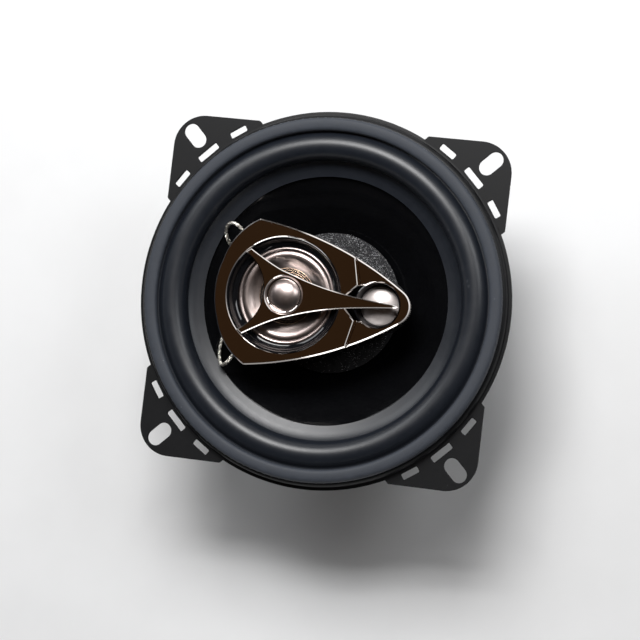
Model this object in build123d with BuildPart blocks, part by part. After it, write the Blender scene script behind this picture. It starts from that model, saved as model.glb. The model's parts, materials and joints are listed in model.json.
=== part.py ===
"""A 4-inch three-way coaxial car speaker, modelled piece by piece.

The origin is the centre of the rear face of the magnet yoke, and +Z points out through the
front. X and Y run through the four mounting slots. The bridge that carries the midrange and the
tweeter points halfway between -Y and +X, parallel to the sides of the square flange.
Lengths are millimetres.
"""

import os
from math import atan2, cos, degrees, pi, radians, sin, tan

from build123d import *

os.makedirs("parts", exist_ok=True)

# ---------------------------------------------------------------- driving dimensions

# Stack of the magnet system, from the rear
YOKE_R = 29.0
YOKE_T = 4.5
MAGNET_R = 32.5
MAGNET_BORE_R = 16.0
MAGNET_TOP = 14.5
TOP_PLATE_TOP = 18.5
GAP_OUTER_R = 13.85
POLE_R = 12.3
POLE_TOP = 18.9

# Stamped basket
SHEET = 1.0
EAR_TOP = 45.0
RIM_R = 51.1
SEAT_TOP = 47.0
LEDGE_TOP = 26.6
SQUARE = 93.5
LUG_CORNER_R = 8.5
LUG_EDGE_END = 23.4
LUG_CHAMFER = 3.2
SLOT_CIRCLE_R = 58.0
SLOT_WIDTH = 4.3
SLOT_LENGTH = 7.3
BEND_CIRCLE_R = 52.0
BEND_ANGLE = 11.08
ARM_AZIMUTHS = (0, 90, 180, 270)
WINDOW_AZIMUTHS = (45, 135, 225, 315)
TERMINAL_AZIMUTH = 135

# Moving parts of the woofer
FORMER_R = 12.7
FORMER_T = 0.15
WINDING_R = 13.35
NECK_R = FORMER_R + FORMER_T
CONE_T = 0.55
CONE_GLUE_R = 33.75
CONE_EDGE_R = 37.4
CAP_R = 19.1
EYELET_R = 29.5
EYELET_SPREAD = 22.5

# Bridge, in its own u and v directions, u towards the tweeter
BRIDGE_AZIMUTH = -45
FACE_TOP = 52.5
FACE_T = 1.6
SKIRT_BOTTOM = 49.2
FLOOR_TOP = 45.7
TRAY_BOTTOM = 44.5
WELL_BOTTOM = 40.8
MID_U = -9.4
MID_OPENING_R = 15.5
TWEETER_U = 16.3
TWEETER_OPENING_R = 6.0
POST_R = 4.5
SCREW_R = 1.45


def save(part, name):
    """Label a finished piece and write it as a STEP file of that name."""
    part.label = name
    export_step(part, f"parts/{name}.step")


def bridge_point(u, v, z):
    """A point given in the bridge's directions, in the model's frame."""
    a = radians(BRIDGE_AZIMUTH)
    return (u * cos(a) - v * sin(a), u * sin(a) + v * cos(a), z)


def level(z, azimuth=0.0):
    """A horizontal sketch plane whose x direction points along an azimuth."""
    a = radians(azimuth)
    return Plane(origin=(0, 0, z), x_dir=(cos(a), sin(a), 0), z_dir=(0, 0, 1))


def upright(azimuth=0.0, origin=(0, 0, 0)):
    """An upright sketch plane: x runs out along an azimuth and y runs up."""
    a = radians(azimuth)
    return Plane(origin=origin, x_dir=(cos(a), sin(a), 0), z_dir=(sin(a), -cos(a), 0))


def bridge_level(z):
    return level(z, BRIDGE_AZIMUTH)


def cone_top(r):
    """Height of the cone's upper surface at a radius, between the neck and the glued rim."""
    t = (r - NECK_R) / (CONE_GLUE_R - NECK_R)
    return 29.3 + 13.0 * t + 1.1 * t * (1 - t)


def cone_slope(r):
    """Slope of the cone in degrees at a radius."""
    return degrees(atan2(cone_top(r + 0.1) - cone_top(r - 0.1), 0.2))


def crown(radius, edge_z, top_z):
    """Three points of an arc that crowns a turned dome, level where it meets the axis."""
    rise = top_z - edge_z
    sphere_r = (radius**2 + rise**2) / (2 * rise)
    half_z = top_z - sphere_r + (sphere_r**2 - radius**2 / 4) ** 0.5
    return (radius, edge_z), (radius / 2, half_z), (0, top_z)


def ring(inner_r, outer_r, z0, z1, plane_at=level, u=0.0):
    """A plain turned ring or disc, on the speaker's axis or at a place u along the bridge."""
    with BuildPart() as turned:
        with BuildSketch(plane_at(z0)):
            with Locations((u, 0)):
                Circle(outer_r)
                if inner_r:
                    Circle(inner_r, mode=Mode.SUBTRACT)
        extrude(amount=z1 - z0)
    return turned.part


# ---------------------------------------------------------------- magnet system

with BuildPart() as yoke:
    with BuildSketch(level(0)):
        Circle(YOKE_R)
    extrude(amount=YOKE_T)
    chamfer(yoke.edges().filter_by(GeomType.CIRCLE).group_by(Axis.Z)[0], 0.8)
    with BuildSketch(level(YOKE_T)):
        Circle(POLE_R)
    extrude(amount=POLE_TOP - YOKE_T)
    chamfer(yoke.edges().filter_by(GeomType.CIRCLE).group_by(Axis.Z)[-1], 0.5)
    with Locations(Plane(origin=(0, 0, 0), x_dir=(1, 0, 0), z_dir=(0, 0, -1))):
        CounterBoreHole(radius=SCREW_R + 0.1, counter_bore_radius=4.2, counter_bore_depth=3.6)
save(yoke.part, "yoke")

with BuildPart() as magnet:
    with BuildSketch(level(YOKE_T)):
        Circle(MAGNET_R)
        Circle(MAGNET_BORE_R, mode=Mode.SUBTRACT)
    extrude(amount=MAGNET_TOP - YOKE_T)
    outer = magnet.edges().filter_by(GeomType.CIRCLE).group_by(SortBy.RADIUS)[-1]
    chamfer(outer, 0.7)
save(magnet.part, "magnet")

RIVET_CIRCLE_R = 23.5
RIVET_SHANK_R = 1.6

with BuildPart() as top_plate:
    with BuildSketch(level(MAGNET_TOP)):
        Circle(YOKE_R)
        Circle(GAP_OUTER_R, mode=Mode.SUBTRACT)
    extrude(amount=TOP_PLATE_TOP - MAGNET_TOP)
    chamfer(top_plate.edges().filter_by(GeomType.CIRCLE).group_by(SortBy.RADIUS)[-1], 0.4)
    with Locations(level(TOP_PLATE_TOP)):
        with PolarLocations(RIVET_CIRCLE_R, 4, start_angle=45):
            Hole(RIVET_SHANK_R + 0.02)
save(top_plate.part, "top_plate")

# ---------------------------------------------------------------- basket

WINDOW_FOOT = 29.2
WINDOW_HEAD = 41.8

with BuildPart() as basket:
    # Stamped bowl, from the flange in to the riveted floor
    with BuildSketch(upright()):
        with BuildLine():
            FilletPolyline(
                (RIM_R, EAR_TOP - SHEET / 2),
                (50.15, EAR_TOP - SHEET / 2),
                (49.55, SEAT_TOP - SHEET / 2),
                (44.6, SEAT_TOP - SHEET / 2),
                (35.9, LEDGE_TOP - SHEET / 2),
                (30.7, LEDGE_TOP - SHEET / 2),
                (29.3, TOP_PLATE_TOP + SHEET / 2),
                (15.4, TOP_PLATE_TOP + SHEET / 2),
                radius=0.55,
            )
        trace(line_width=SHEET)
    revolve(axis=Axis.Z)

    # Four lugs: the corners of a square with rounded tips, chamfered back to the ring
    with BuildSketch(level(EAR_TOP - SHEET, 45)):
        half = SQUARE / 2
        for turn in range(4):
            with BuildLine(mode=Mode.PRIVATE) as outline:
                FilletPolyline(
                    (LUG_EDGE_END - LUG_CHAMFER, half - LUG_CHAMFER),
                    (LUG_EDGE_END, half),
                    (half, half),
                    (half, LUG_EDGE_END),
                    (half - LUG_CHAMFER, LUG_EDGE_END - LUG_CHAMFER),
                    radius=[0.6, LUG_CORNER_R, 0.6],
                )
                Polyline(
                    (half - LUG_CHAMFER, LUG_EDGE_END - LUG_CHAMFER),
                    (34, 34),
                    (LUG_EDGE_END - LUG_CHAMFER, half - LUG_CHAMFER),
                )
            with Locations(Rotation(0, 0, 90 * turn)):
                add(make_face(outline.line.edges(), mode=Mode.PRIVATE))
        Circle(RIM_R - 0.6, mode=Mode.SUBTRACT)
    extrude(amount=SHEET)

    # Screw slots, and three narrow slots where each lug meets the ring
    with BuildSketch(level(EAR_TOP - SHEET)):
        for azimuth in ARM_AZIMUTHS:
            with PolarLocations(SLOT_CIRCLE_R, 1, start_angle=azimuth):
                SlotOverall(SLOT_LENGTH, SLOT_WIDTH)
            with PolarLocations(BEND_CIRCLE_R, 1, start_angle=azimuth):
                RectangleRounded(1.8, 6.5, 0.4)
            for side in (-1, 1):
                with PolarLocations(BEND_CIRCLE_R, 1, start_angle=azimuth + side * BEND_ANGLE):
                    RectangleRounded(1.7, 4.9, 0.4)
    extrude(amount=SHEET, mode=Mode.SUBTRACT)

    # Windows through the side of the bowl
    for azimuth in WINDOW_AZIMUTHS:
        a = radians(azimuth)
        wall = Plane(
            origin=(30 * cos(a), 30 * sin(a), 0),
            x_dir=(-sin(a), cos(a), 0),
            z_dir=(cos(a), sin(a), 0),
        )
        with BuildSketch(wall) as window:
            with BuildLine():
                Polyline(
                    (-13.5, WINDOW_FOOT),
                    (13.5, WINDOW_FOOT),
                    (17.5, WINDOW_HEAD),
                    (-17.5, WINDOW_HEAD),
                    close=True,
                )
            make_face()
            fillet(window.vertices(), 3.0)
        extrude(amount=20, mode=Mode.SUBTRACT)

    # Pressed rib down the middle of each arm
    for azimuth in ARM_AZIMUTHS:
        with BuildSketch(upright(azimuth)):
            with BuildLine():
                Polyline(
                    (36.6, 27.2), (37.4, 27.2), (44.9, 44.2), (44.1, 44.2), close=True
                )
            make_face()
        extrude(amount=2.2, both=True)

    # Tab under the terminal board
    with BuildSketch(level(LEDGE_TOP - SHEET, TERMINAL_AZIMUTH)):
        with Locations((39.2, 0)):
            Rectangle(9.6, 9.0)
    extrude(amount=SHEET)

    with Locations(level(TOP_PLATE_TOP + SHEET)):
        with PolarLocations(RIVET_CIRCLE_R, 4, start_angle=45):
            Hole(RIVET_SHANK_R + 0.02, depth=SHEET)
    with Locations(level(LEDGE_TOP, TERMINAL_AZIMUTH)):
        with Locations((38.6, 0), (42.0, 0)):
            Hole(0.82, depth=SHEET)
save(basket.part, "basket")

with BuildPart() as basket_rivets:
    with BuildSketch(level(MAGNET_TOP)):
        with PolarLocations(RIVET_CIRCLE_R, 4, start_angle=45):
            Circle(RIVET_SHANK_R)
    extrude(amount=TOP_PLATE_TOP + SHEET - MAGNET_TOP)
    with BuildSketch(level(TOP_PLATE_TOP + SHEET)):
        with PolarLocations(RIVET_CIRCLE_R, 4, start_angle=45):
            Circle(2.7)
    extrude(amount=0.9, taper=25)
save(basket_rivets.part, "basket_rivets")

# ---------------------------------------------------------------- terminals

BOARD_TOP = LEDGE_TOP - SHEET
BOARD_T = 1.6
TERMINAL_V = 8.0
TERMINAL_T = 0.8

with BuildPart() as terminal_board:
    with BuildSketch(level(BOARD_TOP - BOARD_T, TERMINAL_AZIMUTH)):
        with Locations((40.9, 0)):
            RectangleRounded(7.8, 24.0, 1.2)
        with Locations((38.6, 0), (42.0, 0)):
            Circle(0.82, mode=Mode.SUBTRACT)
        with Locations((40.6, TERMINAL_V), (40.6, -TERMINAL_V)):
            Circle(1.02, mode=Mode.SUBTRACT)
    extrude(amount=BOARD_T)
save(terminal_board.part, "terminal_board")

with BuildPart() as board_rivets:
    with BuildSketch(level(BOARD_TOP - BOARD_T, TERMINAL_AZIMUTH)):
        with Locations((38.6, 0), (42.0, 0)):
            Circle(0.8)
    extrude(amount=BOARD_T + SHEET)
    with BuildSketch(level(LEDGE_TOP, TERMINAL_AZIMUTH)):
        with Locations((38.6, 0), (42.0, 0)):
            Circle(1.4)
    extrude(amount=0.5, taper=20)
    with BuildSketch(level(BOARD_TOP - BOARD_T - 0.5, TERMINAL_AZIMUTH)):
        with Locations((38.6, 0), (42.0, 0)):
            Circle(1.4)
    extrude(amount=0.5)
save(board_rivets.part, "board_rivets")

for name, v, blade_width in (
    ("terminal_positive", TERMINAL_V, 4.75),
    ("terminal_negative", -TERMINAL_V, 2.8),
):
    with BuildPart() as terminal:
        foot_top = BOARD_TOP - BOARD_T
        with BuildSketch(level(foot_top - TERMINAL_T, TERMINAL_AZIMUTH)):
            with Locations((41.0, v)):
                Rectangle(5.8, 4.75)
            with Locations((40.6, v)):
                Circle(1.02, mode=Mode.SUBTRACT)
        extrude(amount=TERMINAL_T)
        with BuildSketch(level(foot_top, TERMINAL_AZIMUTH)):
            with Locations((43.9 - TERMINAL_T / 2, v)):
                Rectangle(TERMINAL_T, blade_width)
        extrude(amount=-9.0)
        tip = terminal.faces().sort_by(Axis.Z)[0]
        chamfer(tip.edges(), 0.25)
    save(terminal.part, name)

with BuildPart() as terminal_rivets:
    with BuildSketch(level(BOARD_TOP - BOARD_T - TERMINAL_T, TERMINAL_AZIMUTH)):
        with Locations((40.6, TERMINAL_V), (40.6, -TERMINAL_V)):
            Circle(1.0)
    extrude(amount=BOARD_T + TERMINAL_T)
    with BuildSketch(level(BOARD_TOP, TERMINAL_AZIMUTH)):
        with Locations((40.6, TERMINAL_V), (40.6, -TERMINAL_V)):
            Circle(1.7)
    extrude(amount=0.6, taper=15)
    with BuildSketch(level(BOARD_TOP - BOARD_T - TERMINAL_T - 0.5, TERMINAL_AZIMUTH)):
        with Locations((40.6, TERMINAL_V), (40.6, -TERMINAL_V)):
            Circle(1.6)
    extrude(amount=0.5)
save(terminal_rivets.part, "terminal_rivets")

# ---------------------------------------------------------------- cone, suspension and coil

GASKET_TOP = SEAT_TOP + 2.5
GASKET_BOTTOM = SEAT_TOP + 0.56
GASKET_IN_R = 45.45
GASKET_OUT_R = 49.0

with BuildPart() as front_gasket:
    with BuildSketch(upright()):
        with BuildLine():
            Line((GASKET_IN_R + 0.75, GASKET_TOP), (GASKET_OUT_R - 1.1, GASKET_TOP))
            ThreePointArc(
                (GASKET_OUT_R - 1.1, GASKET_TOP),
                (GASKET_OUT_R - 0.32, GASKET_TOP - 0.32),
                (GASKET_OUT_R, GASKET_TOP - 1.1),
            )
            Polyline(
                (GASKET_OUT_R, GASKET_TOP - 1.1),
                (GASKET_OUT_R, GASKET_BOTTOM),
                (GASKET_IN_R, GASKET_BOTTOM),
                (GASKET_IN_R, GASKET_TOP - 0.75),
            )
            ThreePointArc(
                (GASKET_IN_R, GASKET_TOP - 0.75),
                (GASKET_IN_R + 0.22, GASKET_TOP - 0.22),
                (GASKET_IN_R + 0.75, GASKET_TOP),
            )
        make_face()
    revolve(axis=Axis.Z)
save(front_gasket.part, "front_gasket")

SURROUND_T = 0.5
GLUE_LINE = 0.03

with BuildPart() as surround:
    with BuildSketch(upright()):
        with BuildLine():
            outer_flat = Line((49.0, SEAT_TOP + 0.28), (44.9, SEAT_TOP + 0.28))
            roll = ThreePointArc(outer_flat @ 1, (41.7, 49.2), (38.05, 44.9))
            foot = Line(roll @ 1, (37.75, 43.88))
            Line(foot @ 1, (CONE_GLUE_R, 42.3 + GLUE_LINE + 0.52 * SURROUND_T))
        trace(line_width=SURROUND_T)
    revolve(axis=Axis.Z)
save(surround.part, "surround")

with BuildPart() as cone:
    with BuildSketch(upright()):
        with BuildLine():
            inner = ThreePointArc(
                (NECK_R, 29.3), (24.0, cone_top(24.0)), (CONE_GLUE_R, cone_top(CONE_GLUE_R))
            )
            rim = Line(inner @ 1, (CONE_EDGE_R, cone_top(CONE_GLUE_R) + 0.98))
            Line(rim @ 1, (CONE_EDGE_R + 0.14, cone_top(CONE_GLUE_R) + 0.98 - CONE_T))
            under = Line(
                (CONE_EDGE_R + 0.14, cone_top(CONE_GLUE_R) + 0.98 - CONE_T),
                (CONE_GLUE_R + 0.14, cone_top(CONE_GLUE_R) - CONE_T),
            )
            ThreePointArc(
                under @ 1, (24.25, cone_top(24.0) - CONE_T), (NECK_R, 29.3 - CONE_T - 0.2)
            )
            Line((NECK_R, 29.3 - CONE_T - 0.2), (NECK_R, 29.3))
        make_face()
    revolve(axis=Axis.Z)
    for side in (-1, 1):
        az = radians(TERMINAL_AZIMUTH + side * EYELET_SPREAD)
        tilt = radians(cone_slope(EYELET_R))
        seat = Plane(
            origin=(EYELET_R * cos(az), EYELET_R * sin(az), cone_top(EYELET_R)),
            x_dir=(-sin(az), cos(az), 0),
            z_dir=(-sin(tilt) * cos(az), -sin(tilt) * sin(az), cos(tilt)),
        )
        with Locations(seat):
            Hole(0.85, depth=1.5)
save(cone.part, "cone")

with BuildPart() as lead_eyelets:
    for side in (-1, 1):
        az = radians(TERMINAL_AZIMUTH + side * EYELET_SPREAD)
        tilt = radians(cone_slope(EYELET_R))
        normal = (-sin(tilt) * cos(az), -sin(tilt) * sin(az), cos(tilt))
        foot = (EYELET_R * cos(az), EYELET_R * sin(az), cone_top(EYELET_R))
        for start, height, radius in ((-1.12, 0.42, 1.7), (-0.9, 1.1, 0.82), (0.08, 0.42, 1.7)):
            origin = tuple(foot[i] + start * normal[i] for i in range(3))
            seat = Plane(origin=origin, x_dir=(-sin(az), cos(az), 0), z_dir=normal)
            with BuildSketch(seat):
                Circle(radius)
            extrude(amount=height)
save(lead_eyelets.part, "lead_eyelets")

with BuildPart() as dust_cap:
    with BuildSketch(upright()):
        with BuildLine():
            ThreePointArc((CAP_R - 0.2, 34.75), (13.0, 36.5), (6.6, 37.1))
        trace(line_width=0.8)
    revolve(axis=Axis.Z)
save(dust_cap.part, "dust_cap")

with BuildPart() as voice_coil_former:
    with BuildSketch(level(12.5)):
        Circle(NECK_R)
        Circle(FORMER_R, mode=Mode.SUBTRACT)
    extrude(amount=17.3)
save(voice_coil_former.part, "voice_coil_former")

with BuildPart() as voice_coil_winding:
    with BuildSketch(level(13.0)):
        Circle(WINDING_R)
        Circle(NECK_R, mode=Mode.SUBTRACT)
    extrude(amount=7.0)
save(voice_coil_winding.part, "voice_coil_winding")

SPIDER_Z = 26.95
SPIDER_WAVES = 5
SPIDER_INNER_R = 15.4
SPIDER_OUTER_R = 31.2

with BuildPart() as spider:
    with BuildSketch(upright()):
        with BuildLine():
            pitch = (SPIDER_OUTER_R - SPIDER_INNER_R) / (2 * SPIDER_WAVES)
            crests = [
                (SPIDER_INNER_R + (k + 0.5) * pitch, SPIDER_Z + (0.8 if k % 2 else -0.8))
                for k in range(2 * SPIDER_WAVES)
            ]
            FilletPolyline(
                (NECK_R + 0.3, SPIDER_Z),
                (SPIDER_INNER_R, SPIDER_Z),
                *crests,
                (SPIDER_OUTER_R, SPIDER_Z),
                (35.0, SPIDER_Z),
                radius=0.4,
            )
        trace(line_width=0.4)
    revolve(axis=Axis.Z)
save(spider.part, "spider")

# ---------------------------------------------------------------- post and its fasteners

POST_TOP = WELL_BOTTOM

with BuildPart() as mounting_post:
    with BuildSketch(level(POLE_TOP)):
        Circle(7.5)
    extrude(amount=1.6)
    with BuildSketch(level(POLE_TOP + 1.6)):
        Circle(POST_R)
    extrude(amount=POST_TOP - POLE_TOP - 1.6)
    foot_edge = mounting_post.edges().filter_by(GeomType.CIRCLE).sort_by(SortBy.RADIUS)[-2:]
    chamfer(foot_edge.sort_by(Axis.Z)[-1], 0.5)
    with BuildSketch(level(POLE_TOP)):
        Circle(SCREW_R + 0.15)
    extrude(amount=POST_TOP - POLE_TOP, mode=Mode.SUBTRACT)
save(mounting_post.part, "mounting_post")

HEAD_Z = 3.05
NUT_Z = 42.0

with BuildPart() as post_screw:
    with BuildSketch(level(HEAD_Z)):
        Circle(SCREW_R)
    extrude(amount=45.2 - HEAD_Z)
    with BuildSketch(level(0.95)):
        Circle(2.75)
    extrude(amount=HEAD_Z - 0.95)
    fillet(post_screw.edges().filter_by(GeomType.CIRCLE).sort_by(Axis.Z)[0], 0.9)
    # Cross recess in the head
    with BuildSketch(level(0.95)):
        Rectangle(3.0, 0.65)
        Rectangle(0.65, 3.0)
    extrude(amount=1.2, mode=Mode.SUBTRACT)
save(post_screw.part, "post_screw")

with BuildPart() as post_washer:
    with BuildSketch(level(HEAD_Z)):
        Circle(3.4)
        Circle(SCREW_R + 0.05, mode=Mode.SUBTRACT)
    extrude(amount=0.55)
save(post_washer.part, "post_washer")

with BuildPart() as post_nut:
    with BuildSketch(bridge_level(NUT_Z)):
        RegularPolygon(radius=2.75, side_count=6, major_radius=False, rotation=30)
        Circle(SCREW_R + 0.03, mode=Mode.SUBTRACT)
    extrude(amount=2.4)
save(post_nut.part, "post_nut")

# ---------------------------------------------------------------- bridge body and face


def bridge_outline(inset, corner_r):
    """The bridge's outline: bulged rear edge, two gently bowed sides and a round nose."""
    with BuildSketch(mode=Mode.PRIVATE) as sharp:
        with BuildLine():
            rear = ThreePointArc((-27.0, 8.0), (-28.4, 0.0), (-27.0, -8.0))
            TangentArc((-27.0, -8.0), (-18.2, -19.7), tangent=rear % 1)
            TangentArc((-27.0, 8.0), (-18.2, 19.7), tangent=-(rear % 0))
            ThreePointArc((-18.2, 19.7), (2.0, 14.9), (23.2, 4.0))
            ThreePointArc((23.2, 4.0), (25.2, 0), (23.2, -4.0))
            ThreePointArc((-18.2, -19.7), (2.0, -14.9), (23.2, -4.0))
        make_face()
        if inset:
            offset(amount=-inset, kind=Kind.INTERSECTION)
    # The inset curves are drawn again as plain arcs
    with BuildSketch(mode=Mode.PRIVATE) as outline:
        with BuildLine():
            for edge in sharp.edges():
                ThreePointArc(edge @ 0, edge @ 0.5, edge @ 1)
        make_face()
        corners = [v for v in outline.vertices() if abs(v.Y) > 12]
        fillet(corners, corner_r)
    return outline.sketch


face_outline = bridge_outline(0, 1.2)
cover_pocket = bridge_outline(1.2, 0.5)
body_outline = bridge_outline(1.0, 0.8)
tray_pocket = bridge_outline(2.2, 0.5)

POT_R = 6.0
LEAD_R = 0.47
TWEETER_SEAT_R = 6.35

with BuildPart() as bridge_body:
    with BuildSketch(bridge_level(TRAY_BOTTOM)):
        add(body_outline)
    extrude(amount=SKIRT_BOTTOM - TRAY_BOTTOM)
    with BuildSketch(bridge_level(FLOOR_TOP)):
        add(tray_pocket)
    extrude(amount=SKIRT_BOTTOM - FLOOR_TOP, mode=Mode.SUBTRACT)
    # Wells under the floor for the two motors, and the foot that stands on the post
    for u, radius, bottom in (
        (MID_U, 7.4, WELL_BOTTOM),
        (0.0, 6.4, WELL_BOTTOM),
        (TWEETER_U, 7.2, 43.0),
    ):
        with BuildSketch(bridge_level(bottom)):
            with Locations((u, 0)):
                Circle(radius)
        extrude(amount=FLOOR_TOP - bottom)
    for u, radius, bottom in (
        (MID_U, POT_R + 0.03, 42.0),
        (TWEETER_U, POT_R + 0.03, 44.2),
        (TWEETER_U, TWEETER_SEAT_R, 47.68),
    ):
        with BuildSketch(bridge_level(bottom)):
            with Locations((u, 0)):
                Circle(radius)
        extrude(amount=SKIRT_BOTTOM - bottom, mode=Mode.SUBTRACT)
    with BuildSketch(bridge_level(NUT_Z)):
        RegularPolygon(radius=2.8, side_count=6, major_radius=False, rotation=30)
    extrude(amount=FLOOR_TOP - NUT_Z, mode=Mode.SUBTRACT)
    with BuildSketch(bridge_level(WELL_BOTTOM)):
        Circle(SCREW_R + 0.1)
    extrude(amount=NUT_Z - WELL_BOTTOM, mode=Mode.SUBTRACT)
    # Two ports in the rear wall where the jumper leads come in
    for v in (-1, 1):
        with BuildSketch(bridge_level(47.0)):
            with BuildLine():
                Polyline(
                    (-18.0, 11.6 * v), (-20.6, 18.9 * v), (-26.2, 14.9 * v), close=True
                )
            make_face()
        extrude(amount=SKIRT_BOTTOM - 47.0, mode=Mode.SUBTRACT)
save(bridge_body.part, "bridge_body")

STAR_BOTTOM = 50.2
STAR_TOP = 52.9
HUB_U = -9.2
HUB_RING_R = 5.35
HUB_CUP_R = 4.95
HUB_CUP_FLOOR = 51.9
HUB_DOME_R = 4.35

with BuildPart() as bridge_face:
    with BuildSketch(bridge_level(SKIRT_BOTTOM)):
        add(face_outline)
    extrude(amount=FACE_TOP - SKIRT_BOTTOM)
    chamfer(bridge_face.faces().sort_by(Axis.Z)[-1].edges(), 0.45)
    # Hollow underside, leaving a skirt and a collar round each opening
    with BuildSketch(bridge_level(SKIRT_BOTTOM)):
        add(cover_pocket)
        with Locations((MID_U, 0)):
            Circle(MID_OPENING_R + 0.5, mode=Mode.SUBTRACT)
        with Locations((TWEETER_U, 0)):
            Circle(TWEETER_OPENING_R + 1.2, mode=Mode.SUBTRACT)
    extrude(amount=FACE_TOP - FACE_T - SKIRT_BOTTOM, mode=Mode.SUBTRACT)
    # Flared openings
    for u, rim_r, throat_r in (
        (MID_U, MID_OPENING_R, 14.4),
        (TWEETER_U, TWEETER_OPENING_R, 5.6),
    ):
        with BuildSketch(bridge_level(FACE_TOP)):
            with Locations((u, 0)):
                Circle(rim_r)
        with BuildSketch(bridge_level(SKIRT_BOTTOM)):
            with Locations((u, 0)):
                Circle(throat_r)
        loft(mode=Mode.SUBTRACT)
    # Pointed recess beside the tweeter, open to the tray below
    with BuildSketch(bridge_level(SKIRT_BOTTOM)):
        with BuildLine():
            Polyline(
                (13.2, 4.8), (10.9, 4.3), (7.9, 1.9), (7.9, -1.9), (10.9, -4.8), (13.2, -4.8),
                close=True,
            )
        make_face()
    extrude(amount=FACE_TOP - SKIRT_BOTTOM, mode=Mode.SUBTRACT)
    # Fine groove across the plate, from each long side in to the recess
    for v in (-1, 1):
        with BuildSketch(bridge_level(FACE_TOP - 0.5)):
            with BuildLine():
                FilletPolyline((8.3, 14.0 * v), (9.7, 9.0 * v), (11.0, 4.2 * v), radius=8)
            trace(line_width=0.66)
        extrude(amount=0.5, mode=Mode.SUBTRACT)
    # Three-armed guard, a little proud of the face, with a sunk cup at its hub
    with BuildSketch(bridge_level(STAR_BOTTOM)):
        with BuildLine():
            ThreePointArc((-20.9, 10.3), (-14.8, 0.0), (-20.9, -10.3))
            Polyline((-20.9, -10.3), (-19.3, -11.8))
            ThreePointArc((-19.3, -11.8), (-7.6, -5.5), (2.1, -2.7))
            Polyline((2.1, -2.7), (22.0, -0.45), (22.0, 0.45), (2.1, 2.7))
            ThreePointArc((2.1, 2.7), (-7.6, 5.5), (-19.3, 11.8))
            Polyline((-19.3, 11.8), (-20.9, 10.3))
        make_face()
    extrude(amount=STAR_TOP - STAR_BOTTOM)
    with BuildSketch(bridge_level(STAR_BOTTOM)):
        with Locations((HUB_U, 0)):
            Circle(HUB_RING_R)
    extrude(amount=STAR_TOP - STAR_BOTTOM)
    with BuildSketch(bridge_level(HUB_CUP_FLOOR)):
        with Locations((HUB_U, 0)):
            Circle(HUB_CUP_R)
    extrude(amount=STAR_TOP - HUB_CUP_FLOOR, mode=Mode.SUBTRACT)
save(bridge_face.part, "bridge_face")

hub_centre = bridge_point(HUB_U, 0, 0)
with BuildPart() as hub_dome:
    with BuildSketch(upright(0, hub_centre)):
        with BuildLine():
            edge_z, top_z = HUB_CUP_FLOOR + 0.2, HUB_CUP_FLOOR + 1.5
            Polyline(
                (0, top_z), (0, HUB_CUP_FLOOR), (HUB_DOME_R, HUB_CUP_FLOOR), (HUB_DOME_R, edge_z)
            )
            ThreePointArc(*crown(HUB_DOME_R, edge_z, top_z))
        make_face()
    revolve(axis=Axis(hub_centre, (0, 0, 1)))
save(hub_dome.part, "hub_dome")

# ---------------------------------------------------------------- midrange

mid_centre = bridge_point(MID_U, 0, 0)
save(ring(12.5, 15.0, FLOOR_TOP, 48.5, bridge_level, MID_U), "mid_frame")

with BuildPart() as mid_edge:
    with BuildSketch(upright(0, mid_centre)):
        with BuildLine():
            clamped = Line((14.9, 48.62), (13.4, 48.62))
            ThreePointArc(clamped @ 1, (12.8, 49.0), (12.2, 48.7))
        trace(line_width=0.16)
    revolve(axis=Axis(mid_centre, (0, 0, 1)))
save(mid_edge.part, "mid_edge")

with BuildPart() as mid_cone:
    with BuildSketch(upright(0, mid_centre)):
        with BuildLine():
            Polyline((11.9, 48.75), (11.9, 48.5), (5.4, 47.3), (4.7, 47.3), (4.7, 47.5))
            ThreePointArc(*crown(4.7, 47.5, 48.8))
            Line((0, 48.8), (0, 49.02))
            ThreePointArc(*crown(5.0, 47.55, 49.02))
            Polyline((5.0, 47.55), (5.5, 47.55), (11.9, 48.75))
        make_face()
    revolve(axis=Axis(mid_centre, (0, 0, 1)))
save(mid_cone.part, "mid_cone")

save(ring(4.7, 5.0, 43.7, 47.28, bridge_level, MID_U), "mid_coil")

with BuildPart() as mid_pot:
    with BuildSketch(bridge_level(42.0)):
        with Locations((MID_U, 0)):
            Circle(POT_R)
    extrude(amount=4.5)
    with BuildSketch(bridge_level(42.9)):
        with Locations((MID_U, 0)):
            Circle(POT_R - 0.6)
    extrude(amount=3.6, mode=Mode.SUBTRACT)
save(mid_pot.part, "mid_pot")
save(ring(0, 4.1, 42.9, 45.3, bridge_level, MID_U), "mid_magnet")
save(ring(0, 4.3, 45.3, 46.4, bridge_level, MID_U), "mid_pole_plate")

# ---------------------------------------------------------------- tweeter

tweeter_centre = bridge_point(TWEETER_U, 0, 0)
save(ring(5.55, TWEETER_SEAT_R - 0.05, 47.7, 48.1, bridge_level, TWEETER_U), "tweeter_frame")

with BuildPart() as tweeter_edge:
    with BuildSketch(upright(0, tweeter_centre)):
        with BuildLine():
            Line((TWEETER_SEAT_R - 0.1, 48.2), (5.5, 48.2))
        trace(line_width=0.12)
    revolve(axis=Axis(tweeter_centre, (0, 0, 1)))
save(tweeter_edge.part, "tweeter_edge")

with BuildPart() as tweeter_dome:
    with BuildSketch(upright(0, tweeter_centre)):
        with BuildLine():
            Polyline((5.25, 48.28), (5.25, 48.1), (4.7, 48.1), (4.7, 48.25))
            ThreePointArc((4.7, 48.25), (3.2, 48.95), (1.3, 49.3))
            Polyline((1.3, 49.3), (1.2, 49.45), (0, 49.45), (0, 49.62), (1.3, 49.62), (1.4, 49.5))
            ThreePointArc((1.4, 49.5), (3.3, 49.13), (4.95, 48.35))
            Line((4.95, 48.35), (5.25, 48.28))
        make_face()
    revolve(axis=Axis(tweeter_centre, (0, 0, 1)))
save(tweeter_dome.part, "tweeter_dome")

save(ring(4.7, 4.95, 45.6, 48.08, bridge_level, TWEETER_U), "tweeter_coil")

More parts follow.
